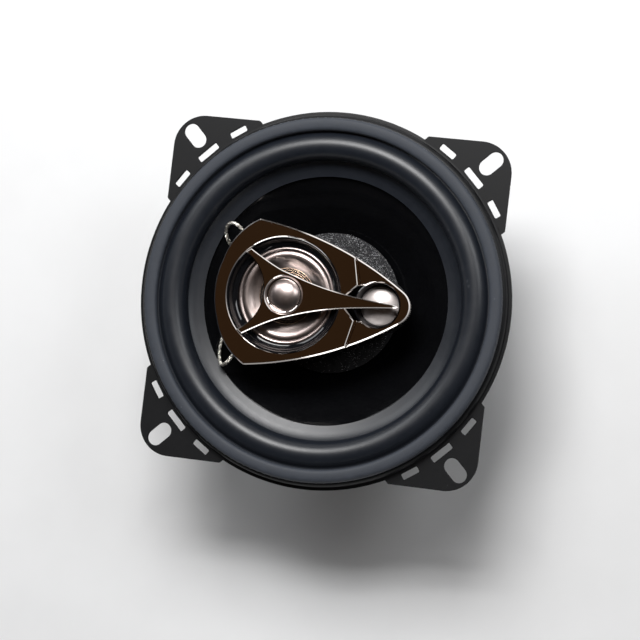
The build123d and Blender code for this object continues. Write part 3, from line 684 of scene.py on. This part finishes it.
def rounded_polygon(corners, radii, steps=8):
    """A closed outline with each corner rounded by its own radius."""
    out = []
    count = len(corners)
    for k, corner in enumerate(corners):
        here = Vector(corner)
        before, after = Vector(corners[k - 1]), Vector(corners[(k + 1) % count])
        a, b = (before - here).normalized(), (after - here).normalized()
        half = a.angle(b) / 2
        r = radii[k] if isinstance(radii, (list, tuple)) else radii
        if r <= 0:
            out.append(tuple(here))
            continue
        reach = r / math.tan(half)
        middle = here + (a + b).normalized() * (r / math.sin(half))
        p, q = here + a * reach - middle, here + b * reach - middle
        swing = math.atan2(p.x * q.y - p.y * q.x, p.dot(q))
        for i in range(steps + 1):
            t = swing * i / steps
            c, s = math.cos(t), math.sin(t)
            out.append((middle.x + p.x * c - p.y * s, middle.y + p.x * s + p.y * c))
    return out


WINDOW = rounded_polygon([(-13.5, 29.2), (13.5, 29.2), (17.5, 41.8), (-17.5, 41.8)], 3.0)
WINDOW_FROM_R, WINDOW_TO_R = 31.0, 52.0


def window_cutter(azimuth):
    """A prism that cuts one window through the basket's wall."""
    a = math.radians(azimuth)
    out, side = Vector((math.cos(a), math.sin(a), 0)), Vector((-math.sin(a), math.cos(a), 0))
    verts = []
    for depth in (WINDOW_FROM_R, WINDOW_TO_R):
        verts += [(out * depth + side * x + Vector((0, 0, z))) * 0.001 for x, z in WINDOW]
    count = len(WINDOW)
    faces = [list(range(count)), list(range(count, 2 * count))[::-1]]
    faces += [[k, (k + 1) % count, count + (k + 1) % count, count + k] for k in range(count)]
    made = bpy.data.objects.new("cutter", mesh_from("cutter", verts, faces))
    scene.collection.objects.link(made)
    return made


bowl = bpy.data.objects.new(
    "basket_bowl", turned("basket_bowl", thickened(resampled(BOWL_LINE, 3.0), 1.0), steps=288)
)
scene.collection.objects.link(bowl)
cutters = [window_cutter(azimuth) for azimuth in (45, 135, 225, 315)]
for cutter in cutters:
    cut = bowl.modifiers.new("window", "BOOLEAN")
    cut.object, cut.operation, cut.solver = cutter, "DIFFERENCE", "EXACT"
edge = bowl.modifiers.new("edge", "BEVEL")
edge.width, edge.segments, edge.limit_method = 0.00022, 2, "ANGLE"
edge.angle_limit = math.radians(50)
bpy.context.view_layer.update()
bowl_mesh = bpy.data.meshes.new_from_object(
    bowl.evaluated_get(bpy.context.evaluated_depsgraph_get())
)
for leftover in [bowl, *cutters]:
    bpy.data.objects.remove(leftover)
soften(bowl_mesh, 30.0)
put("basket_bowl", bowl_mesh, FRAME_BODY, "basket_paint", ("basket",))

LUG_HALF = 93.5 / 2
LUG_EDGE_END, LUG_CHAMFER = 23.4, 3.2
LUG_LOW, LUG_TOP = 44.0, 45.0
LUG_AZIMUTH = math.radians(45)
SCREW_SLOT_R, GRILLE_SLOT_R = 58.0, 52.0
GRILLE_SLOT_SPREAD = math.radians(11.08)


def slot_outline(centre_r, turn, along, across, corner):
    """A rounded slot: along its radius and across it, placed on a circle."""
    shape = rounded_polygon(
        [(-along / 2, -across / 2), (along / 2, -across / 2),
         (along / 2, across / 2), (-along / 2, across / 2)], corner, 8)
    c, s = math.cos(turn), math.sin(turn)
    return [((centre_r + x) * c - y * s, (centre_r + x) * s + y * c) for x, y in shape]


lug_meshes = []
for quarter in range(4):
    near, far = LUG_EDGE_END - LUG_CHAMFER, LUG_HALF - LUG_CHAMFER
    outline = rounded_polygon(
        [(near, far), (LUG_EDGE_END, LUG_HALF), (LUG_HALF, LUG_HALF), (LUG_HALF, LUG_EDGE_END),
         (far, near)], [0, 0.6, 8.5, 0.6, 0], 14)
    outline += arc((0.0, 0.0), 50.2, 26, 64, 19)
    holes = [slot_outline(SCREW_SLOT_R, LUG_AZIMUTH, 7.3, 4.3, 2.14),
             slot_outline(GRILLE_SLOT_R, LUG_AZIMUTH, 1.8, 6.5, 0.4)]
    for spread in (-GRILLE_SLOT_SPREAD, GRILLE_SLOT_SPREAD):
        holes.append(slot_outline(GRILLE_SLOT_R, LUG_AZIMUTH + spread, 1.7, 4.9, 0.4))
    turn = Matrix.Rotation(math.radians(-45 + 90 * quarter), 4, "Z")
    lug_meshes.append(plate(f"lug_{quarter}", [outline, *holes], LUG_LOW, LUG_TOP, 0.12, turn))
put("mounting_lugs", joined("mounting_lugs", lug_meshes), FRAME_BODY, "basket_paint",
    ("basket",))

TERMINAL_AZIMUTH = math.radians(135)
tab_turn = Matrix.Rotation(TERMINAL_AZIMUTH, 4, "Z")
tab_outline = rounded_polygon([(34.0, -4.5), (44.0, -4.5), (44.0, 4.5), (34.0, 4.5)],
                              [0.3, 1.2, 1.2, 0.3])
put("terminal_tab", plate("terminal_tab", [tab_outline], 25.6, 26.6, 0.12, tab_turn),
    FRAME_BODY, "basket_paint", ("basket",))


def tube(name, path, radius, sides):
    """A round tube with flat ends along points in millimetres."""
    points = [Vector(p) for p in path]
    verts, faces, normal = [], [], None
    for k, here in enumerate(points):
        before, after = points[max(k - 1, 0)], points[min(k + 1, len(points) - 1)]
        along = (after - before).normalized()
        if normal is None:
            normal = along.orthogonal().normalized()
        normal = (normal - along * normal.dot(along)).normalized()
        other = along.cross(normal)
        for i in range(sides):
            a = TAU * i / sides
            verts.append((here + (normal * math.cos(a) + other * math.sin(a)) * radius) * 0.001)
    for k in range(len(points) - 1):
        for i in range(sides):
            n = (i + 1) % sides
            faces.append([k * sides + i, k * sides + n, (k + 1) * sides + n, (k + 1) * sides + i])
    faces.append(list(range(sides))[::-1])
    faces.append([(len(points) - 1) * sides + i for i in range(sides)])
    return mesh_from(name, verts, faces, 50.0)


ribs = []
for quarter in range(4):
    a = math.radians(90 * quarter)
    line = [(r * math.cos(a), r * math.sin(a), z)
            for r, z in ((36.9, 28.2), (37.55, 29.2), (40.4, 35.8), (43.3, 42.5), (43.6, 43.6))]
    ribs.append(tube(f"rib_{quarter}", line, 1.1, 16))
put("arm_ribs", joined("arm_ribs", ribs), FRAME_BODY, "basket_paint", ("basket",))

# ------------------------------------------------------------------ gasket, surround, cone

GASKET_RIDGES = 150


def gasket_shape(a, r, z):
    """Moulded ridges round the outer wall, and a faint waviness of the pressed top."""
    if r > 48.7 and 47.7 < z < 49.0:
        ridge = max(0.0, math.cos(GASKET_RIDGES * a)) ** 3
        return r - 0.12 + 0.14 * ridge, z
    return r, z + 0.012 * math.sin(7 * a) + 0.008 * math.sin(23 * a + r)


put("gasket_ring", turned("gasket_ring", [
    (49.05, 47.56), (49.1, 47.8), (49.1, 48.3), (49.02, 48.7), (48.85, 49.02), (48.6, 49.25),
    (48.3, 49.4), (47.9, 49.48), (47.2, 49.5), (46.5, 49.45), (46.05, 49.35), (45.75, 49.15),
    (45.55, 48.85), (45.45, 48.4), (45.45, 47.56),
], steps=1200, shape=gasket_shape, angle=50.0), FRAME_BODY, "gasket_board", ("front_gasket",))

SURROUND_LINE = (
    [(49.0, 47.28), (46.5, 47.28), (45.35, 47.28)]
    + arc((45.25, 47.9), 0.62, 265, 215, 4)
    + arc((41.62, 45.62), 3.6, 31, 186, 30)
    + arc((37.55, 44.75), 0.55, 5, -68, 5)[1:]
    + [(37.0, 43.70), (35.4, 43.24), (33.75, 42.80)]
)
surround = put("surround_roll", turned(
    "surround_roll", thickened(SURROUND_LINE, 0.5), steps=320, angle=60.0
), None, "surround_rubber", ("surround",))
radial_blend(surround)


def cone_top(r):
    t = (r - 12.85) / (33.75 - 12.85)
    return 29.3 + 13.0 * t + 1.1 * t * (1 - t)


cone_line = [(r, cone_top(r)) for r in np.linspace(12.87, 33.75, 40)]
cone_line += [(37.0, cone_top(33.75) + 0.87), (37.4, cone_top(33.75) + 0.98)]
cone_under = [(r, z - 0.55) for r, z in cone_line][::-1]
put("cone_body", turned("cone_body", cone_line + cone_under, steps=288, angle=60.0),
    CONE_BODY, "cone_film", ("cone",))

CAP_LINE = smooth_line([(19.0, 34.55), (17.6, 35.15), (15.5, 35.85), (12.5, 36.5),
                        (9.4, 36.9), (6.6, 37.08)], 5)
put("cap_dome", turned("cap_dome", thickened(CAP_LINE, 0.8), steps=240, angle=60.0,
                       shape=lambda a, r, z: (r, z + 0.05 * math.sin(9 * a + r) * math.sin(r))),
    CONE_BODY, "cap_felt", ("dust_cap",))


def felt_fibres(count):
    """Short loose fibres lying in all directions on the felt cap, denser on its far side as
    painted light: the bright fibres thin out on the near side, which the bridge shades.
    """
    rng = random.Random(11)
    cap_r, cap_z = [p[0] for p in CAP_LINE[::-1]], [p[1] for p in CAP_LINE[::-1]]
    verts, faces = [], []
    for _ in range(count):
        r = math.sqrt(rng.uniform(6.9**2, 19.05**2))
        a = rng.uniform(0, TAU)
        heading, length = rng.uniform(0, TAU), rng.uniform(0.25, 0.8)
        # Painted light: bright fibres are kept more often on the far, lit side and dropped on the
        # near side under the bridge's shade
        if rng.random() > 0.55 + 0.45 * math.sin(a - VIEW_AZIMUTH):
            continue
        x, y = r * math.cos(a), r * math.sin(a)
        base = len(verts)
        lift = rng.uniform(0.02, 0.3)
        curl = rng.uniform(-0.9, 0.9)
        for k in range(4):
            t = k / 3 - 0.5
            px = x + math.cos(heading + curl * t) * t * length
            py = y + math.sin(heading + curl * t) * t * length
            radius = min(max(math.hypot(px, py), 6.7), 19.2)
            height = float(np.interp(radius, cap_r, cap_z)) + 0.4
            height += lift * (1 - (2 * t) ** 2) - 0.03
            across = heading + math.pi / 2
            for offset, rise in ((-0.02, 0.0), (0.02, 0.0), (0.0, 0.03)):
                verts.append(mm(px + math.cos(across) * offset,
                                py + math.sin(across) * offset, height + rise))
        for k in range(3):
            for i in range(3):
                n = (i + 1) % 3
                faces.append([base + 3 * k + i, base + 3 * k + n,
                              base + 3 * k + 3 + n, base + 3 * k + 3 + i])
        faces += [[base, base + 2, base + 1], [base + 9, base + 10, base + 11]]
    mesh = bpy.data.meshes.new("felt_fibres")
    mesh.from_pydata(verts, [], faces)
    return soften(mesh, 80.0)


put("cap_fibres", felt_fibres(9000), CONE_BODY, "cap_felt", ("dust_cap",), FELT_FIBRE)

wave = [(15.4 + 15.8 * k / 80, 26.95 - 0.72 * math.sin(math.pi * k / 8)) for k in range(81)]
spider_line = [(12.9, 26.95), (14.2, 26.95), *wave, (32.5, 26.95), (34.9, 26.95)]
spider = put("spider_disc", turned("spider_disc", thickened(spider_line, 0.4), steps=240,
                                   angle=70.0), None, "spider_cloth", ("spider",))
radial_blend(spider)

winding = [(12.86, 13.0)]
for k in range(28):
    z = 13.0 + 0.25 * k
    winding += [(13.22, z + 0.01), (13.33, z + 0.07), (13.35, z + 0.125), (13.33, z + 0.18),
                (13.22, z + 0.24)]
winding.append((12.86, 20.0))
put("coil_wire", turned("coil_wire", winding, steps=160, angle=60.0), CONE_BODY,
    "winding_copper", ("voice_coil_winding",))

# ------------------------------------------------------------------ bridge

MID_U, TWEETER_U, HUB_U = -9.4, 16.3, -9.2
FACE_TOP, FACE_LOW, SKIRT_LOW, STAR_TOP, STAR_LOW = 52.5, 50.9, 49.2, 52.9, 50.2


def arc_through(a, b, c, count):
    """Points of the arc from a through b to c."""
    a, b, c = Vector(a), Vector(b), Vector(c)
    d = 2 * (a.x * (b.y - c.y) + b.x * (c.y - a.y) + c.x * (a.y - b.y))
    ux = (a.dot(a) * (b.y - c.y) + b.dot(b) * (c.y - a.y) + c.dot(c) * (a.y - b.y)) / d
    uy = (a.dot(a) * (c.x - b.x) + b.dot(b) * (a.x - c.x) + c.dot(c) * (b.x - a.x)) / d
    centre = Vector((ux, uy))
    start = math.atan2(*(a - centre).yx)
    middle = (math.atan2(*(b - centre).yx) - start) % TAU
    sweep = (math.atan2(*(c - centre).yx) - start) % TAU
    if middle > sweep:
        sweep -= TAU
    radius = (a - centre).length
    return [(centre.x + radius * math.cos(start + sweep * k / count),
             centre.y + radius * math.sin(start + sweep * k / count))
            for k in range(count + 1)]


REAR = arc_through((-27.0, 8.0), (-28.4, 0.0), (-27.0, -8.0), 16)
REAR_SIDE = arc_through((-27.0, -8.0), (-23.9, -14.62), (-18.6, -19.4), 16)
CORNER = arc_through((-18.6, -19.4), (-18.2, -19.62), (-17.72, -19.64), 4)
LONG_SIDE = arc_through((-17.72, -19.64), (2.0, -14.9), (23.2, -4.0), 40)
NOSE = arc_through((23.2, -4.0), (25.2, 0.0), (23.2, 4.0), 16)


def mirrored(points):
    return [(x, -y) for x, y in points[::-1]]


OUTLINE = (REAR[:-1] + REAR_SIDE[:-1] + CORNER[:-1] + LONG_SIDE[:-1] + NOSE[:-1]
           + mirrored(LONG_SIDE)[:-1] + mirrored(CORNER)[:-1] + mirrored(REAR_SIDE)[:-1])


def circle(u, radius, count):
    return [(u + radius * math.cos(TAU * k / count), radius * math.sin(TAU * k / count))
            for k in range(count)]


# The groove divides the plate into a main part and a nose part
GROOVE_HALF = 0.16


def groove_x(v):
    """Where the groove runs, from the long side in to the recess."""
    return 10.95 - 0.235 * (abs(v) - 4.5)


def split_outline(rear_part):
    """The main or the nose part of the plate, with its side of the groove and the recess."""
    shift = -GROOVE_HALF if rear_part else GROOVE_HALF
    kept = [p for p in OUTLINE if (p[0] < groove_x(p[1]) + shift) == rear_part]
    first = next(k for k, p in enumerate(OUTLINE) if p in kept and OUTLINE[k - 1] not in kept)
    out = [p for p in OUTLINE[first:] + OUTLINE[:first] if p in kept]
    sign = 1 if out[-1][1] > 0 else -1

    # Where the groove's side meets the long side
    v_end = 10.0
    for _ in range(30):
        v_end = float(np.interp(groove_x(v_end) + shift, [p[0] for p in LONG_SIDE],
                                [-p[1] for p in LONG_SIDE]))
    v_end *= sign
    out.append((groove_x(v_end) + shift, v_end))
    if rear_part:
        out += [(groove_x(4.9) + shift - 0.1, 4.75 * sign), (7.9, 1.9 * sign),
                (7.9, -1.9 * sign), (groove_x(4.9) + shift - 0.1, -4.75 * sign)]
    else:
        a0 = math.atan2(4.72, 12.6 - TWEETER_U)
        sweep = [a0 * sign - 2 * a0 * sign * k / 96 for k in range(97)]
        out += [(groove_x(4.9) + shift + 0.15, 4.78 * sign)]
        out += [(TWEETER_U + 6.0 * math.cos(a), 6.0 * math.sin(a)) for a in sweep]
        out += [(groove_x(4.9) + shift + 0.15, -4.78 * sign)]
    out.append((groove_x(v_end) + shift, -v_end))
    return out


main_plate = plate("face_main", [split_outline(True), circle(MID_U, 15.5, 160)],
                   FACE_LOW, FACE_TOP, 0.32)
nose_plate = plate("face_nose", [split_outline(False)], FACE_LOW, FACE_TOP, 0.32)


def inset(points, amount):
    """Moves a closed outline inwards by an amount."""
    out = []
    area = sum(a[0] * b[1] - b[0] * a[1] for a, b in zip(points, points[1:] + points[:1]))
    turn = 1 if area > 0 else -1
    for k, here in enumerate(points):
        along = Vector(points[(k + 1) % len(points)]) - Vector(points[k - 1])
        along.normalize()
        out.append((here[0] - along.y * amount * turn, here[1] + along.x * amount * turn))
    return out


skirt = plate("face_skirt", [inset(OUTLINE, 0.03), inset(OUTLINE, 1.2)], SKIRT_LOW,
              FACE_LOW + 0.1, 0.08)
# A thin web joins the two parts under the groove, open at the recess and the tweeter
notch_a = math.atan2(4.72, 12.3 - TWEETER_U)
notch = [(10.4, 4.6), (7.9, 1.9), (7.9, -1.9), (10.4, -4.6)]
notch += [(TWEETER_U + 6.2 * math.cos(-notch_a + 2 * notch_a * k / 80),
           6.2 * math.sin(-notch_a + 2 * notch_a * k / 80)) for k in range(81)]
groove_web = plate("face_web", [inset(OUTLINE, 0.5), circle(MID_U, 15.7, 128), notch],
                   FACE_LOW + 0.1, FACE_TOP - 0.5, 0.05)
STAR_HALF = [(-20.9, 10.4), (-19.5, 11.45), (-17.0, 10.0), (-14.2, 8.45), (-10.7, 6.75),
             (-7.0, 5.5), (-3.5, 4.35), (0.0, 3.4), (3.5, 2.6), (8.4, 1.75), (15.0, 0.95),
             (21.4, 0.32)]
upper = smooth_line(STAR_HALF[1:], 6)
lower = [(x, -y) for x, y in upper[::-1]]
rear_edge = arc_through((-20.9, -10.4), (-14.75, 0.0), (-20.9, 10.4), 40)
star_outline = [(22.0, 0.0)] + lower + rear_edge + upper
star = plate("face_star", [star_outline, circle(HUB_U, 5.1, 96)], STAR_TOP - 1.1, STAR_TOP, 0.22)

hub_centre = on_bridge(HUB_U, 0, 0)[:2]
mid_centre = on_bridge(MID_U, 0, 0)[:2]
tweeter_centre = on_bridge(TWEETER_U, 0, 0)[:2]
hub_cup = turned("hub_cup", [
    (5.55, 50.5), (5.5, 52.6), (5.3, 52.78), (5.18, 52.72), (5.0, 52.35), (4.85, 52.05),
    (4.4, 51.9), (0.0, 51.9), (0.0, 50.5),
], hub_centre, 128, angle=50.0)

put("bridge_plate", joined("bridge_plate", [main_plate, nose_plate, skirt, groove_web]),
    FRAME_BODY, "face_chrome", ("bridge_face",))
put("bridge_star", joined("bridge_star", [star, hub_cup]), FRAME_BODY, "face_chrome",
    ("bridge_face",))

mid_throat = turned("mid_throat", [
    (15.42, 52.32), (15.2, 52.0), (14.95, 51.4), (14.75, 50.7), (14.5, 50.05), (14.1, 49.6),
    (13.6, 49.32), (13.3, 49.22), (13.3, 49.05), (15.9, 49.05), (15.9, 52.1), (15.6, 52.3),
], mid_centre, 200, angle=50.0)
tweeter_throat = turned("tweeter_throat", [
    (6.0, 52.2), (5.92, 51.7), (5.85, 51.0), (5.75, 50.1), (5.62, 49.3), (5.48, 48.85),
    (5.3, 48.62), (5.3, 48.45), (6.25, 48.45), (6.35, 51.0), (6.3, 52.1),
], tweeter_centre, 128, angle=50.0)
star_back = plate("star_back", [inset(star_outline, 0.25)], STAR_LOW, STAR_TOP - 1.05, 0.0)
put("throats", joined("throats", [mid_throat, tweeter_throat, star_back]), FRAME_BODY,
    "face_chrome", ("bridge_face",), THROAT_BLACK)

put("hub_cap", turned("hub_cap", [
    (0.0, 53.35), (0.8, 53.32), (1.6, 53.22), (2.4, 53.04), (3.1, 52.78), (3.7, 52.45),
    (4.1, 52.15), (4.35, 51.95), (4.35, 51.91), (0.0, 51.91),
], hub_centre, 128, angle=60.0), FRAME_BODY, "driver_film", ("hub_dome",))

# Midrange: a bright dish outside, thin gilt rings round a dark middle
DISH = smooth_line([(12.05, 48.62), (11.7, 48.8), (11.2, 48.9), (10.6, 48.84), (10.0, 48.62),
                    (9.4, 48.36), (8.8, 48.14), (8.2, 47.97), (7.6, 47.8)], 8)
put("mid_dish", turned("mid_dish", DISH + [(7.55, 47.3), (12.05, 48.35)], mid_centre, 220,
                       angle=75.0), MID_BODY, "driver_film", ("mid_cone",))
put("mid_middle", turned("mid_middle", [
    (7.55, 47.72), (7.35, 47.6), (7.0, 47.52), (5.5, 47.35), (5.2, 47.4), (5.0, 47.62),
    (4.2, 48.05), (3.0, 48.5), (1.5, 48.85), (0.0, 48.98), (0.0, 48.8), (3.0, 48.3),
    (4.7, 47.45), (5.4, 47.2), (7.55, 47.3),
], mid_centre, 160, angle=75.0), MID_BODY, "driver_film", ("mid_cone",), DISH_BLACK)

roll_line = [(14.9, 48.62), (13.9, 48.62), (13.35, 48.62), (13.15, 48.78), (12.85, 48.98),
             (12.55, 48.98), (12.3, 48.82), (12.12, 48.66)]
mid_roll = put("mid_roll", turned("mid_roll", thickened(roll_line, 0.16), mid_centre, 160,
                                  angle=70.0), None, "driver_film", ("mid_edge",))
radial_blend(mid_roll)

gilt = []
for r, z, thick in ((7.5, 47.76, 0.1), (6.95, 47.54, 0.07), (6.4, 47.48, 0.07),
                    (5.9, 47.42, 0.06)):
    gilt.append(turned("gilt", [(r + thick * math.cos(TAU * k / 10),
                                 z + thick * math.sin(TAU * k / 10)) for k in range(10)],
                       mid_centre, 128, angle=80.0))
put("mid_rings", joined("mid_rings", gilt), MID_BODY, "driver_film", ("mid_cone",), GOLD_LINE)

dome_line = []
for k in range(120):
    r = 5.2 * (1 - k / 119)
    z = 48.6 + 1.15 * (1 - (r / 5.2) ** 2.1)
    if r < 1.25:
        z += 0.16 * (1 - (r / 1.25) ** 4)
    dome_line.append((r, z))
put("tweeter_cap", turned("tweeter_cap", dome_line + [
    (0.0, 49.5), (2.5, 49.25), (5.0, 48.4), (5.2, 48.3),
], tweeter_centre, 128, angle=75.0), TWEETER_BODY, "driver_film", ("tweeter_dome",),
    TWEETER_SILVER)

tweeter_film = put("tweeter_film", turned("tweeter_film", thickened(
    [(6.25, 48.2), (5.95, 48.2), (5.8, 48.27), (5.65, 48.27), (5.5, 48.2)], 0.12
), tweeter_centre, 96, angle=70.0), None, "driver_film", ("tweeter_edge",))
radial_blend(tweeter_film)

# ------------------------------------------------------------------ braided leads

JUMPER_UPPER = [on_bridge(*p) for p in (
    (-20.3, 13.3, 48.25), (-22.7, 15.5, 48.2), (-25.4, 17.9, 48.0), (-28.2, 18.3, 46.6),
    (-29.5, 16.0, 44.3), (-28.9, 13.3, 42.6), (-27.5, 11.6, 41.25))]
JUMPER_LOWER = [on_bridge(*p) for p in (
    (-20.3, -13.3, 48.25), (-21.6, -16.0, 48.2), (-23.2, -19.0, 48.0), (-25.4, -20.8, 46.6),
    (-27.0, -18.9, 44.3), (-27.7, -15.2, 42.6), (-27.3, -12.0, 41.3))]


def terminal_place(u, v, z):
    """A place given out from the axis towards the terminals and across, in the row frame."""
    c, s = math.cos(TERMINAL_AZIMUTH), math.sin(TERMINAL_AZIMUTH)
    return (u * c - v * s, u * s + v * c, z)


COIL_LEAD = ((27.75, 11.35, 37.7), (29.3, 11.3, 35.0), (32.6, 10.7, 33.2), (36.6, 9.8, 32.9),
             (39.9, 8.8, 31.3), (40.9, 8.2, 28.5), (40.6, 8.0, 26.35))


def route(points):
    """Points along the smooth line of a lead, read from its spline."""
    curve = bpy.data.curves.new("route", "CURVE")
    curve.dimensions = "3D"
    curve.resolution_u = 24
    spline = curve.splines.new("NURBS")
    spline.points.add(len(points) - 1)
    for point, place in zip(spline.points, points):
        point.co = (*place, 1.0)
    spline.order_u = 3
    spline.use_endpoint_u = True
    holder = bpy.data.objects.new("route", curve)
    mesh = bpy.data.meshes.new_from_object(holder)
    line = [v.co.copy() for v in mesh.vertices]
    bpy.data.objects.remove(holder)
    bpy.data.curves.remove(curve)
    bpy.data.meshes.remove(mesh)
    return line


def even_points(line, step):
    """The same line with points an even step apart."""
    along = [0.0]
    for a, b in zip(line, line[1:]):
        along.append(along[-1] + (b - a).length)
    count = max(2, round(along[-1] / step))
    at = np.linspace(0, along[-1], count + 1)
    cols = [np.interp(at, along, [p[k] for p in line]) for k in range(3)]
    return [Vector(p) for p in zip(*cols)]


BRAID_R, STRAND_R, LAY, BRAID_STEP = 0.53, 0.15, 2.2, 0.11


def braid(name, points):
    """A braided tinsel lead: strands wound both ways over a core."""
    line = even_points(route(points), BRAID_STEP)
    frames, normal = [], None
    for k, here in enumerate(line):
        before, after = line[max(k - 1, 0)], line[min(k + 1, len(line) - 1)]
        along = (after - before).normalized()
        if normal is None:
            normal = along.orthogonal().normalized()
        normal = (normal - along * normal.dot(along)).normalized()
        frames.append((here, normal.copy(), along.cross(normal)))
    meshes = [tube("core", line, BRAID_R * 0.45, 8)]
    for way in (-1, 1):
        for strand in range(4):
            path = []
            for k, (here, n, b) in enumerate(frames):
                wound = TAU * k * BRAID_STEP / LAY
                turn = way * wound + TAU * (strand + (0.5 if way > 0 else 0)) / 4
                over = math.sin(4 * wound + math.pi * strand)
                reach = BRAID_R - STRAND_R - 0.05 + 0.07 * way * over
                path.append(here + (n * math.cos(turn) + b * math.sin(turn)) * reach)
            meshes.append(tube("strand", path, STRAND_R, 6))
    lead = put(name, joined(name, meshes), None, "lead_braid", (name.replace("braid", "lead"),))
    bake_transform(lead)


braid("jumper_braid_positive", JUMPER_UPPER)
braid("jumper_braid_negative", JUMPER_LOWER)
braid("woofer_braid_positive", [terminal_place(*p) for p in COIL_LEAD])
braid("woofer_braid_negative", [terminal_place(u, -v, z) for u, v, z in COIL_LEAD])

# ------------------------------------------------------------------ floor

floor_mesh = bpy.data.meshes.new("floor")
floor_mesh.from_pydata([(-6, -6, 0), (6, -6, 0), (6, 6, 0), (-6, 6, 0)], [], [[0, 1, 2, 3]])
floor = bpy.data.objects.new("floor", floor_mesh)
scene.collection.objects.link(floor)
floor_mesh.materials.append(finish("floor", (0.72, 0.725, 0.73), (0.75, 0.755, 0.76), 0.6,
                                   0.05, grain=60.0))
